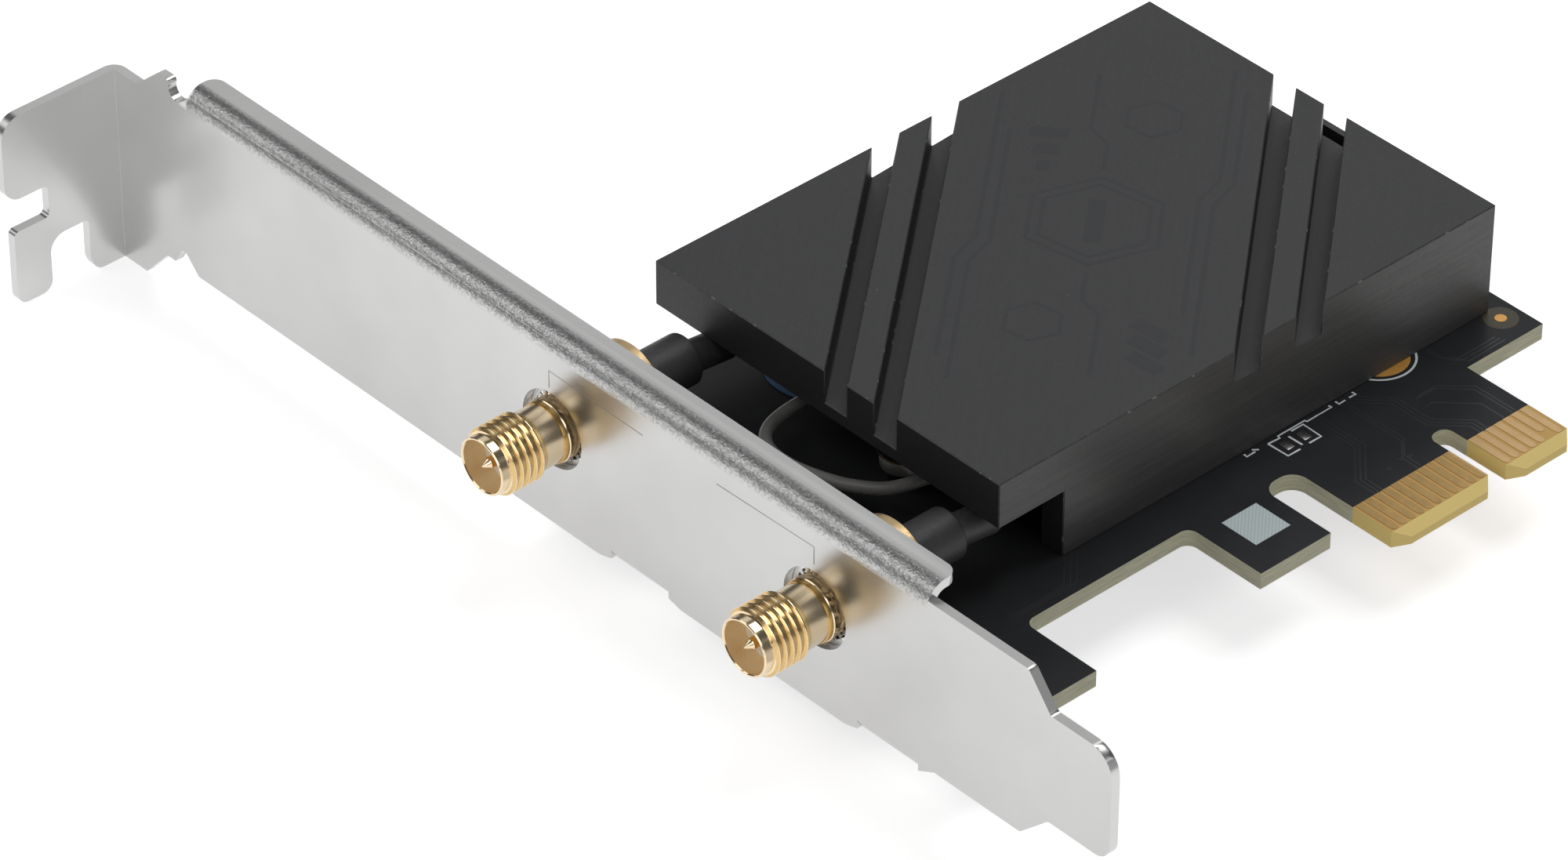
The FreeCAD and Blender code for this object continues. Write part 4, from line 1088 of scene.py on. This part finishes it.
# %% Coax leads
LEAD = 0.57
LEAD_POINTS = {
    "coax_lead_1": [
        (-15.46, 13.05, 5.28), (-15.46, 20.6, 4.45), (-14.2, 24.0, 4.3), (-11.2, 25.6, 4.2),
        (-8.0, 25.5, 4.2), (-5.9, 23.4, 4.2), (-5.95, 20.6, 4.1), (-6.85, 17.2, 3.2),
        (-6.3, 14.6, 3.0), (-4.6, 13.1, 3.0), (-2.2, 12.75, 3.0), (0.4, 13.3, 2.9),
        (3.8, 14.7, 2.85), (7.2, 17.0, 3.3), (8.31, 20.8, 4.06),
    ],
    "coax_lead_2": [(15.46, 13.05, 5.28), (15.46, 16.6, 4.8), (15.46, 20.23, 4.35), (13.75, 22.68, 4.06)],
}


def mesh_of_curve(curve):
    """The curve's swept tube as an editable mesh."""
    holder = bpy.data.objects.new("curve", curve)
    bpy.context.collection.objects.link(holder)
    graph = bpy.context.evaluated_depsgraph_get()
    mesh = bpy.data.meshes.new_from_object(holder.evaluated_get(graph))
    bm = bmesh.new()
    bm.from_mesh(mesh)
    bpy.data.objects.remove(holder)
    bpy.data.meshes.remove(mesh)
    bmesh.ops.remove_doubles(bm, verts=bm.verts, dist=SAME_POINT)
    return bm


def make_lead(node, points):
    curve = bpy.data.curves.new(node, "CURVE")
    curve.dimensions = "3D"
    curve.bevel_depth = LEAD * MM
    curve.bevel_resolution = 6
    curve.use_fill_caps = True
    spline = curve.splines.new("NURBS")
    spline.points.add(len(points) - 1)
    for point, place in zip(spline.points, points):
        point.co = (*(value * MM for value in place), 1)
    spline.order_u = 3
    spline.use_endpoint_u = True
    spline.resolution_u = 12
    bm = mesh_of_curve(curve)
    return add_piece(node + "_jacket", bm, lead_jacket, replaces=[node], angle=50.0)


for node, points in LEAD_POINTS.items():
    lead = make_lead(node, points)
    print(lead.name, len(lead.data.polygons), "faces")

# %% [markdown]
# Screws are pan heads with a cross recess. The head is a spun outline with a domed top. Its cross could
# be one star-shaped cutter, but a cutter that overlaps itself gives no clean cut, so the two slots are
# cut one after the other.

# %% Cutting and the cross recess
def combine(bm, other, operation):
    """Joins two closed shapes, or cuts the second out of the first."""
    shapes = []
    for name, source in (("body", bm), ("other", other)):
        mesh = bpy.data.meshes.new(name)
        source.to_mesh(mesh)
        source.free()
        shape = bpy.data.objects.new(name, mesh)
        bpy.context.collection.objects.link(shape)
        shapes.append(shape)
    body, tool = shapes
    modifier = body.modifiers.new("combine", "BOOLEAN")
    modifier.object = tool
    modifier.operation = operation
    modifier.solver = "EXACT"
    graph = bpy.context.evaluated_depsgraph_get()
    result = bmesh.new()
    result.from_object(body, graph)
    for shape in shapes:
        bpy.data.objects.remove(shape)
    return result


def cut_cross(bm, reach, width, low, high):
    bm = combine(bm, block(-reach, -width / 2, low, reach, width / 2, high), "DIFFERENCE")
    return combine(bm, block(-width / 2, -reach, low, width / 2, reach, high), "DIFFERENCE")


print("helpers combine, cut_cross")

# %% [markdown]
# Two screws hold the board to the bracket's tabs, and three more come from below into the heatsink's
# posts. Only the heads show, so the thread is a plain shank, and one function makes both kinds.

# %% Screws
HEAD_HEIGHT, LOW_HEAD_HEIGHT = 1.6, 1.2
HEAD_RIM = 0.28
RECESS_REACH, RECESS_WIDTH, RECESS_FLOOR = 0.52, 0.2, 0.45


def dome(radius, height, edge, steps=8):
    """Outline of a domed head above its seat, from the rim to the axis."""
    points = [(radius, 0), (radius, edge)]
    for step in range(1, steps + 1):
        turn = math.pi / 2 * step / steps
        points.append((radius * math.cos(turn), edge + (height - edge) * math.sin(turn)))
    points[-1] = (0, height)
    return points


def make_screw(node, shank, upwards=False):
    low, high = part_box(node)
    centre = (low + high) / 2 / MM
    radius = (high.x - low.x) / 2 / MM
    height = LOW_HEAD_HEIGHT if upwards else HEAD_HEIGHT
    tip = height - (high.z - low.z) / MM
    thread = [(0, tip), (shank - 0.15, tip), (shank, tip + 0.2), (shank, 0)]
    bm = spin_profile(thread + dome(radius, height, height * HEAD_RIM), steps=48)
    bm = cut_cross(bm, radius * RECESS_REACH, radius * RECESS_WIDTH, height * RECESS_FLOOR, height + 0.5)
    if upwards:
        bmesh.ops.rotate(bm, verts=bm.verts, cent=(0, 0, 0), matrix=Matrix.Rotation(math.pi, 3, "X"))
        move(bm, centre.x, centre.y, low.z / MM + height)
    else:
        move(bm, centre.x, centre.y, high.z / MM - height)
    return add_piece(node + "_pan_head", bm, steel, replaces=[node], angle=30.0)


screws = [make_screw(f"bracket_screw_{number}", 1.2) for number in (1, 2)]
screws += [make_screw(f"heatsink_screw_{number}", 0.8, upwards=True) for number in (1, 2, 3)]
print("faces of the screws", [len(screw.data.polygons) for screw in screws])

# %% [markdown]
# The module is held by a flat screw, blackened on top, on a turned post with a bright flange. Of both
# the photograph shows only a crescent under the heatsink's lip, with a fine gold rim between them. They
# are spun like the jacks, and the rim is a piece of its own, so that it stays a clean line.

# %% Post and module screw
POST = [
    (0.9, 0), (1.3, 0), (1.3, 1.75), (1.75, 1.78), (1.98, 1.9), (2.02, 2.4),
    (1.9, 2.9), (1.7, 3.25), (1.4, 3.3), (0.9, 3.3),
]
FLANGE_LOW = 1.74
FLAT_HEAD = [(0, 0.7), (0.85, 0.7), (0.85, 3.32), (2.2, 3.32), (2.26, 3.5), (2.1, 4.05), (0, 4.05)]
GOLD_RIM = [(2.2, 3.3), (2.28, 3.3), (2.3, 3.42), (2.22, 3.44)]
CROSS_REACH, CROSS_WIDTH, CROSS_FLOOR, CROSS_TOP = 1.1, 0.45, 3.6, 4.3


def middle_of(node):
    low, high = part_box(node)
    return (low + high) / 2 / MM


def make_post():
    middle = middle_of("standoff")
    bm = move(spin_profile(POST), middle.x, middle.y)
    # Below the flange the post takes the screw's black, as painted shade under the heatsink's lip.
    for face in bm.faces:
        if face.calc_center_median().z < FLANGE_LOW * MM:
            face.material_index = 1
    piece = add_piece("module_post", bm, post_tin, replaces=["standoff"])
    piece.data.materials.append(black_screw_and_post_shade)
    head = cut_cross(spin_profile(FLAT_HEAD), CROSS_REACH, CROSS_WIDTH, CROSS_FLOOR, CROSS_TOP)
    add_piece("module_flat_screw", move(head, middle.x, middle.y), black_screw_and_post_shade,
              replaces=["module_screw"])
    rim = move(spin_profile(GOLD_RIM), middle.x, middle.y)
    add_piece("module_screw_rim", rim, pin_gold)
    return piece


post = make_post()
print(post.name, "and its screw,", len(post.data.polygons), "faces")

# %% [markdown]
# Copper under the lacquer shows as faint raised lines, and white print lies on top. A picture could
# hold both, but thin flat ribbons stay crisp at any distance and follow a few points each. Each ribbon
# is a round bevelled curve, pressed flat onto the board.

# %% Flat ribbons
def flat_lines(routes, width, height, level=0.0):
    """Ribbons along routes of (x, y) points in millimetres, pressed flat onto a level."""
    curve = bpy.data.curves.new("lines", "CURVE")
    curve.dimensions = "3D"
    curve.bevel_depth = width * MM / 2
    curve.bevel_resolution = 1
    curve.use_fill_caps = True
    for route in routes:
        spline = curve.splines.new("POLY")
        spline.points.add(len(route) - 1)
        for point, (x, y) in zip(spline.points, route):
            point.co = (x * MM, y * MM, 0, 1)
    bm = mesh_of_curve(curve)
    bmesh.ops.scale(bm, vec=(1, 1, 2 * height / width), verts=bm.verts)
    bmesh.ops.translate(bm, vec=(0, 0, level * MM), verts=bm.verts)
    return bm


print("helper flat_lines")

# %% [markdown]
# The white print frames two small parts, marks a few short strokes beside them and rings a screw hole.
# Its lines are ribbons, the ring is spun, and the hatched square is a thin block. Each could be a face
# without thickness, but then it would flicker where it lies in the board's own surface.

# %% White print
PRINT_WIDTH = 0.2
PRINT_HEIGHT = 0.02
PRINT_ROUTES = [
    [(19.42, 46.0), (19.51, 47.24), (19.22, 47.33), (19.21, 50.42), (19.42, 50.47), (19.4, 53.32),
     (19.1, 53.27)],
    [(19.42, 46.0), (21.63, 46.07), (21.65, 47.43)],
    [(19.47, 48.6), (19.48, 49.97), (21.59, 49.9), (21.57, 48.54)],
    [(19.82, 47.94), (21.38, 47.97)],
    [(19.11, 43.57), (19.5, 43.52), (19.45, 44.49)],
    [(19.1, 44.46), (19.47, 44.92)],
    [(19.1, 54.08), (19.52, 54.09), (19.49, 54.81)],
    [(19.44, 55.3), (19.49, 56.03), (19.1, 56.01)],
]
SQUARE_LEFT, SQUARE_FRONT, SQUARE_SIDE = 24.29, 35.86, 3.87
RING_CENTRE = (17.06, 61.0)
RING_RADIUS = 3.25


def make_print():
    bm = flat_lines(PRINT_ROUTES, PRINT_WIDTH, PRINT_HEIGHT)
    inner, outer = RING_RADIUS - PRINT_WIDTH / 2, RING_RADIUS + PRINT_WIDTH / 2
    ring = spin_profile([(inner, 0), (outer, 0), (outer, PRINT_HEIGHT), (inner, PRINT_HEIGHT)])
    merge(bm, move(ring, *RING_CENTRE))
    lines = add_piece("board_print", bm, print_white)
    right, back = SQUARE_LEFT + SQUARE_SIDE, SQUARE_FRONT + SQUARE_SIDE
    square = block(SQUARE_LEFT, SQUARE_FRONT, 0, right, back, PRINT_HEIGHT)
    add_piece("board_print_square", square, square_white)
    return lines


print(make_print().name, "and its square")

# %% [markdown]
# The heatsink's top carries a tone-on-tone pattern, only a shade away from the anodising. It could be
# painted by a texture, but lines of real geometry stay crisp at any distance. So hexagons, dashes and
# bent lines are laid out along the slots, as flat ribbons like those of the board.

# %% Pattern on the heatsink
PATTERN_CENTRE = (-1.5, 46.5)
PATTERN_TOP = 10.8
PATTERN_HEIGHT = 0.004
THIN, THICK = 0.42, 1.5
TONE, TONE_PALE = (0.0165, 0.0180, 0.0220), (0.0185, 0.0200, 0.0242)
tone_print = make_moulded("tone_on_tone_print", TONE, TONE_PALE, 0.42, strength=0.05)


def on_top(along, across):
    """Place on the heatsink's top, measured along the slots and square to them."""
    turn = -SLOT_ANGLE
    return (PATTERN_CENTRE[0] + along * math.cos(turn) - across * math.sin(turn),
            PATTERN_CENTRE[1] + along * math.sin(turn) + across * math.cos(turn))


def hexagon(along, across, radius):
    corners = [math.tau * step / 6 for step in range(7)]
    return [on_top(along + radius * math.cos(turn), across + radius * math.sin(turn)) for turn in corners]


def thin_routes():
    """Hexagons round the middle and in two corners, and bent lines, each with its half-turned twin."""
    routes = [hexagon(0, 0, 6.2), hexagon(0, 0, 5.1), hexagon(-15, 3.5, 2.6), hexagon(14.5, -3.6, 2.6)]
    bent = [
        [(-23, 9.6), (-7, 9.6), (-4, 8.2), (12, 8.2)],
        [(-20, 10.8), (-6.5, 10.8), (-3.5, 9.4), (17.5, 9.4)],
        [(7.2, 0), (11, 0), (13, 1.6), (21, 1.6)],
    ]
    for side in (-1, 1):
        routes += [[on_top(along * side, across * side) for along, across in route] for route in bent]
    return routes


def thick_routes():
    """Two groups of three dashes, and one dash in the middle."""
    routes = []
    for step in range(3):
        along = -12 + 2.4 * step
        routes.append([on_top(along, -6.6 + 0.5 * step), on_top(along, -3.4 - 0.5 * step)])
    for step in range(3):
        routes.append([on_top(13.5 + 2.2 * step, 4.4), on_top(15.5 + 2.2 * step, 7.2)])
    return routes + [[on_top(-3, 0), on_top(3, 0)]]


def make_pattern():
    bm = flat_lines(thin_routes(), THIN, PATTERN_HEIGHT, PATTERN_TOP)
    merge(bm, flat_lines(thick_routes(), THICK, PATTERN_HEIGHT, PATTERN_TOP))
    return add_piece("heatsink_pattern", bm, tone_print)


print("pattern of", len(thin_routes()) + len(thick_routes()), "lines in", make_pattern().name)

# %% [markdown]
# Bare metal shows in a few spots: a gold ring round a screw hole, the small dot by which a machine finds
# the board, two tinned pads inside the print and a scatter of vias, the plated holes that join the
# layers. A texture could paint them, but each has a rim a few hundredths of a millimetre high, which
# catches light.

# %% Pads, fiducial and vias
PAD_CENTRE, PAD_RADIUS, PAD_HOLE = (17.21, 61.0), 2.66, 1.1
FIDUCIAL, FIDUCIAL_RADIUS, WINDOW_RADIUS, WINDOW_HOLE = (20.2, 72.4), 0.52, 1.52, 0.5
RING_HEIGHT, DOT_HEIGHT, WINDOW_HEIGHT = 0.015, 0.02, 0.006
TINNED_PADS = [(20.02, 46.55, 0, 21.15, 47.36, 0.08), (20.02, 48.5, 0, 21.15, 49.3, 0.08)]
VIA_RADIUS, VIA_HOLE = 0.22, 0.09
VIAS = [
    (23.11, 58.07), (23.84, 58.79), (21.68, 57.7), (21.76, 55.97), (23.02, 54.5), (24.97, 55.01),
    (28.08, 52.49), (28.22, 53.38), (28.29, 50.8), (21.05, 41.8), (21.0, 43.89), (22.07, 42.56),
    (25.6, 40.88),
]
fibre_window = make_moulded("bare_laminate_window", (0.050, 0.044, 0.022), (0.060, 0.053, 0.028), 0.4)


def disc(x, y, radius, height, steps=40, hole=0.0):
    """Flat ring, or a disc with a softened rim where there is no hole."""
    if hole:
        outline = [(hole, 0), (radius, 0), (radius, height), (hole, height)]
    else:
        rim = height * 0.3
        outline = [(0, 0), (radius, 0), (radius, height * 0.7), (radius - rim, height), (0, height)]
    return move(spin_profile(outline, steps), x, y)


def make_pads():
    # The gold ring's bright, partly diffuse colour is a painted reflection.
    gold = disc(*PAD_CENTRE, PAD_RADIUS, RING_HEIGHT, hole=PAD_HOLE)
    merge(gold, disc(*FIDUCIAL, FIDUCIAL_RADIUS, DOT_HEIGHT))
    add_piece("board_gold_pads", gold, pad_gold_painted_reflection)
    bare = disc(*FIDUCIAL, WINDOW_RADIUS, WINDOW_HEIGHT, hole=WINDOW_HOLE)
    add_piece("fiducial_window", bare, fibre_window)
    tinned = bmesh.new()
    for box in TINNED_PADS:
        merge(tinned, block(*box, soften=0.03))
    add_piece("board_tinned_pads", tinned, solder)
    vias = bmesh.new()
    for x, y in VIAS:
        merge(vias, disc(x, y, VIA_RADIUS, DOT_HEIGHT, steps=12, hole=VIA_HOLE))
    add_piece("board_vias", vias, lacquer_relief)


make_pads()
print("pads, a fiducial and", len(VIAS), "vias")

# %% [markdown]
# Copper tracks run in bundles between the contacts and the parts under the heatsink. Each could be
# drawn by itself, but real ones turn together by 45 degrees, so a bundle is one route and its copies,
# moved sideways.

# %% Tracks
LINE_HEIGHT = 0.006
TRACK_WIDTH = 0.16
BOARD_BACK = -1.57


def bundle(start, turns, count, pitch, side):
    """Parallel tracks: each runs through the same corners, moved sideways by its number."""
    routes = []
    for number in range(count):
        shift = Vector(side) * pitch * number
        routes.append([(start[0] + shift.x, start[1] + shift.y)]
                      + [(x + shift.x, y + shift.y) for x, y in turns])
    return routes


TRACKS = (
    bundle((29.8, 60.65), [(28.4, 60.65), (25.9, 58.15), (22.0, 58.15), (19.0, 55.15)], 3, 0.42, (0.42, -1))
    + bundle((29.8, 62.65), [(27.2, 62.65), (24.4, 59.85), (24.4, 59.0)], 1, 0.4, (0, 1))
    + bundle((29.8, 63.65), [(25.5, 63.65), (23.2, 61.35), (23.2, 59.2)], 2, 0.4, (-0.42, 1))
    + bundle((22.5, 70.5), [(22.5, 66.2), (21.2, 64.9), (19.0, 64.9)], 3, 0.42, (-1, -0.42))
    + bundle((29.8, 47.65), [(27.6, 47.65), (24.4, 50.85), (19.0, 50.85)], 3, 0.42, (0.42, 1))
    + bundle((29.8, 52.65), [(28.0, 52.65), (26.4, 54.25), (19.0, 54.25)], 2, 0.42, (-0.42, 1))
    + bundle((22.0, 16.0), [(22.0, 22.0), (19.0, 25.0)], 3, 0.5, (-0.42, -1))
    + bundle((29.5, 8.0), [(27.0, 10.5), (19.0, 10.5), (16.0, 13.5), (16.0, 17.0)], 2, 0.5, (-0.42, -1))
)
BACK_TRACKS = (
    bundle((29.8, 46.65), [(25.0, 46.65), (18.0, 39.65), (-8.0, 39.65), (-12.0, 35.65), (-12.0, 20.0)],
           5, 0.6, (-0.42, 1))
    + bundle((29.8, 60.65), [(24.0, 60.65), (18.0, 54.65), (2.0, 54.65), (-3.0, 49.65)], 4, 0.6, (-0.42, 1))
    + bundle((-5.0, 70.0), [(-5.0, 62.0), (1.0, 56.0), (10.0, 56.0)], 4, 0.6, (1, 0.42))
    + bundle((-12.0, 14.0), [(-8.0, 18.0), (10.0, 18.0), (14.0, 22.0), (14.0, 34.0)], 3, 0.6, (-0.42, 1))
)
front = flat_lines(TRACKS, TRACK_WIDTH, LINE_HEIGHT)
back = flat_lines(BACK_TRACKS, TRACK_WIDTH, LINE_HEIGHT, BOARD_BACK)
add_piece("front_tracks", front, lacquer_relief)
add_piece("back_tracks", back, lacquer_relief)
print(len(TRACKS) + len(BACK_TRACKS), "tracks")

# %% [markdown]
# A small header stands on the far edge. Through a slot of the heatsink its top shows as a grey strip,
# so its front wall is thick there, and the well for its pins lies behind. Five walls could be built one
# by one, but a block with a smaller one cut out of it is closed from the start.

# %% Far header
HEADER_WALL = 0.7
HEADER_FRONT_WALL = 1.45
HEADER_FLOOR = 1.2
HEADER_ROUNDING = 0.12


def make_header():
    low, high = (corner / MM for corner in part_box("far_header"))
    body = block(*low, *high, HEADER_ROUNDING)
    well = block(low.x + HEADER_WALL, low.y + HEADER_FRONT_WALL, low.z + HEADER_FLOOR,
                 high.x - HEADER_WALL, high.y - HEADER_WALL, high.z + 1)
    body = combine(body, well, "DIFFERENCE")
    return add_piece("far_header_housing", body, header_black, replaces=["far_header"])


header = make_header()
print(header.name, len(header.data.polygons), "faces")

# %% [markdown]
# Legs and pins that pass through the board are soldered underneath, each in a small cone of solder.
# Real joints differ a little, but from below they are tiny, so one spun cone stands at every pin.

# %% Solder joints
JOINT = [(0, -2.0), (0.55, -2.0), (0.62, -1.85), (0.78, -1.66), (1.0, BOARD_BACK), (0, BOARD_BACK)]
HEADER_PITCH = 2.5


def make_joints():
    places = [(jack + side, along) for jack in JACKS.values()
              for side in (-LEG_SPREAD, LEG_SPREAD) for along in LEG_PLACES]
    header = middle_of("far_header_pins")
    places += [(header.x + HEADER_PITCH * step, header.y) for step in range(-2, 3)]
    bm = bmesh.new()
    for x, y in places:
        merge(bm, move(spin_profile(JOINT, 24), x, y))
    add_piece("solder_joints", bm, solder)
    return len(places)


print(make_joints(), "solder joints")

# %% [markdown]
# The bracket was punched and folded from sheet. The fold beside the screw tab is nearly sharp inside,
# while the solid has an even round there. The tab could be built anew, but moving the corner's few
# vertices to a smaller round keeps the rest of the sheet as it is.

# %% The fold beside the tab
FOLD_X, FOLD_Y = -70.48, -0.45
FOLD_ROUND, TIGHT_ROUND = 0.45, 0.02


def tighten_fold(bm):
    """Moves the inside of the fold to a smaller round in the same corner."""
    slide = FOLD_ROUND - TIGHT_ROUND
    for vert in bm.verts:
        x, y = vert.co.x / MM - FOLD_X, vert.co.y / MM - FOLD_Y
        if x < NEAR / 2 and y > -NEAR / 2 and abs(math.hypot(x, y) - FOLD_ROUND) < NEAR:
            vert.co.x = (FOLD_X - slide + x * TIGHT_ROUND / FOLD_ROUND) * MM
            vert.co.y = (FOLD_Y + slide + y * TIGHT_ROUND / FOLD_ROUND) * MM


print("fold drawn in from", FOLD_ROUND, "to", TIGHT_ROUND, "mm")

# %% [markdown]
# Where the long flange begins, the real sheet has a punched relief: a small web runs up to the bend,
# and a round valley is pressed beside it. Bending a flat grid of faces could make both, but the copy of
# the solid is at hand, so the web is a plate joined to it, and a round punch is then cut out.

# %% The punched relief
SHEET = 0.86
WEB = [(-62.9, 12.2), (-61.3, 12.2), (-61.3, 13.6), (-62.15, 12.95), (-62.9, 12.95)]
RELIEF_CENTRE, RELIEF_RADIUS = (-62.7, 13.7), 0.9
CLOSE = 0.03 * MM


def stand_up(bm):
    """Turns a shape made flat in X and Y to stand in X and Z."""
    bmesh.ops.rotate(bm, verts=bm.verts, cent=(0, 0, 0), matrix=Matrix.Rotation(math.pi / 2, 3, "X"))
    return bm


def sheet_piece(outline):
    """Closed plate of the bracket's thickness from its (x, z) corners."""
    curve = bpy.data.curves.new("plate", "CURVE")
    curve.dimensions = "2D"
    curve.fill_mode = "BOTH"
    curve.extrude = SHEET * MM / 2
    spline = curve.splines.new("POLY")
    spline.points.add(len(outline) - 1)
    for point, (x, z) in zip(spline.points, outline):
        point.co = (x * MM, z * MM, 0, 1)
    spline.use_cyclic_u = True
    bm = mesh_of_curve(curve)
    bmesh.ops.recalc_face_normals(bm, faces=bm.faces)
    return move(stand_up(bm), 0, SHEET / 2, 0)


def shape_relief(bm):
    bm = combine(bm, sheet_piece(WEB), "UNION")
    x, z = RELIEF_CENTRE
    punch = spin_profile([(0, -1), (RELIEF_RADIUS, -1), (RELIEF_RADIUS, 1), (0, 1)], steps=24)
    bm = combine(bm, move(stand_up(punch), x, SHEET / 2, z), "DIFFERENCE")
    bmesh.ops.remove_doubles(bm, verts=bm.verts, dist=CLOSE)
    bmesh.ops.dissolve_limit(bm, angle_limit=SAME_PLANE, verts=bm.verts, edges=bm.edges)
    return bm


print("relief of", RELIEF_RADIUS, "mm radius at", RELIEF_CENTRE)

# %% [markdown]
# The screw tab's corners are cut round, and every rim of the sheet is slightly broken, so that it
# glints. A rim of several segments could be rounder, but beside a flat it smears the shading, so each
# is one narrow chamfer, and weighted normals let the large flat faces rule.

# %% Bracket
RIM = 0.16
TAB_CORNER = 0.55
TAB_FACE = -70.9 * MM
TAB_DEPTH = 0.8 * MM
CORNER_TURN, RIM_TURN = math.radians(30), math.radians(60)


def keep_flats_flat(piece):
    """Lets the large faces rule the shading, so that a fine chamfer beside them leaves no smear."""
    modifier = piece.modifiers.new("weighted_normals", "WEIGHTED_NORMAL")
    modifier.mode = "FACE_AREA"
    modifier.weight = 100
    modifier.keep_sharp = True


def round_tab(bm):
    """Rounds the cut corners of the screw tab, which stands square to X."""
    corners = [edge for edge in bm.edges if edge.is_convex and edge.calc_face_angle() > CORNER_TURN
               and max(vert.co.x for vert in edge.verts) < TAB_FACE
               and abs(edge.verts[0].co.x - edge.verts[1].co.x) > TAB_DEPTH]
    bmesh.ops.bevel(bm, geom=corners, offset=TAB_CORNER * MM, segments=4, affect="EDGES", profile=0.5,
                    material=-1, clamp_overlap=True)


def make_bracket():
    bm = shape_relief(merged_copy("bracket"))
    tighten_fold(bm)
    round_tab(bm)
    rims = [edge for edge in bm.edges if edge.is_convex and edge.calc_face_angle() > RIM_TURN]
    bmesh.ops.bevel(bm, geom=rims, offset=RIM * MM, segments=1, affect="EDGES", profile=0.5, material=-1,
                    clamp_overlap=True)
    piece = add_piece("bracket_plate", bm, nickel, replaces=["bracket"], angle=40.0)
    keep_flats_flat(piece)
    return piece


bracket = make_bracket()
print("bracket", len(bracket.data.polygons), "faces")

# %% [markdown]
# Fine lines are stamped into the bracket beside each jack. They could be cut in, but a groove a tenth
# of a millimetre wide shows only as a dark line, so they are ribbons like the tracks, in dark nickel as
# painted shade of the grooves, made flat on the ground and then stood up on the bracket's face.

# %% Stamped lines
STAMP_WIDTH = 0.13
STAMP_HEIGHT = 0.01
STAMP_ROUTES = [
    [(-15.72, 9.3), (-15.72, 10.95), (-4.5, 10.8)],
    [(15.35, 9.5), (15.35, 11.2), (4.15, 10.95)],
]


def make_stamps():
    bm = stand_up(flat_lines(STAMP_ROUTES, STAMP_WIDTH, STAMP_HEIGHT))
    return add_piece("bracket_stamped_lines", bm, stamp_painted_shade)


stamps = make_stamps()
print(stamps.name, len(STAMP_ROUTES), "lines")

# %% [markdown]
# The other solids already have the shape that shows, or lie under the heatsink where little of them is
# seen. So they keep their meshes, and each gets its finish by name.

# %% Finishes of the solids that stay
FINISHES = {
    "board": board_finish,
    "front_contacts": contact_gold,
    "back_contacts": contact_gold,
    "module_board": green_board,
    "module_shield": tin,
    "thermal_pad": silicone,
    "module_socket": black_plastic,
    "socket_contacts": pin_gold,
    "coax_plug_1": pin_gold,
    "coax_plug_2": pin_gold,
    "far_header_pins": pin_gold,
    "sticker": sticker_blue,
    "inductor": black_plastic,
    "regulator": black_plastic,
    "capacitors": ceramic,
}
for node, finish in FINISHES.items():
    dress(node, finish)
print(len(FINISHES), "solids dressed")

# %% [markdown]
# At the end the solids' box is printed. The finer pieces take the place of solids and may not make
# the part larger.

# %% The solids' box
bpy.context.view_layer.update()
print("cad box", [[round(value / MM, 2) for value in corner] for corner in cad_box])
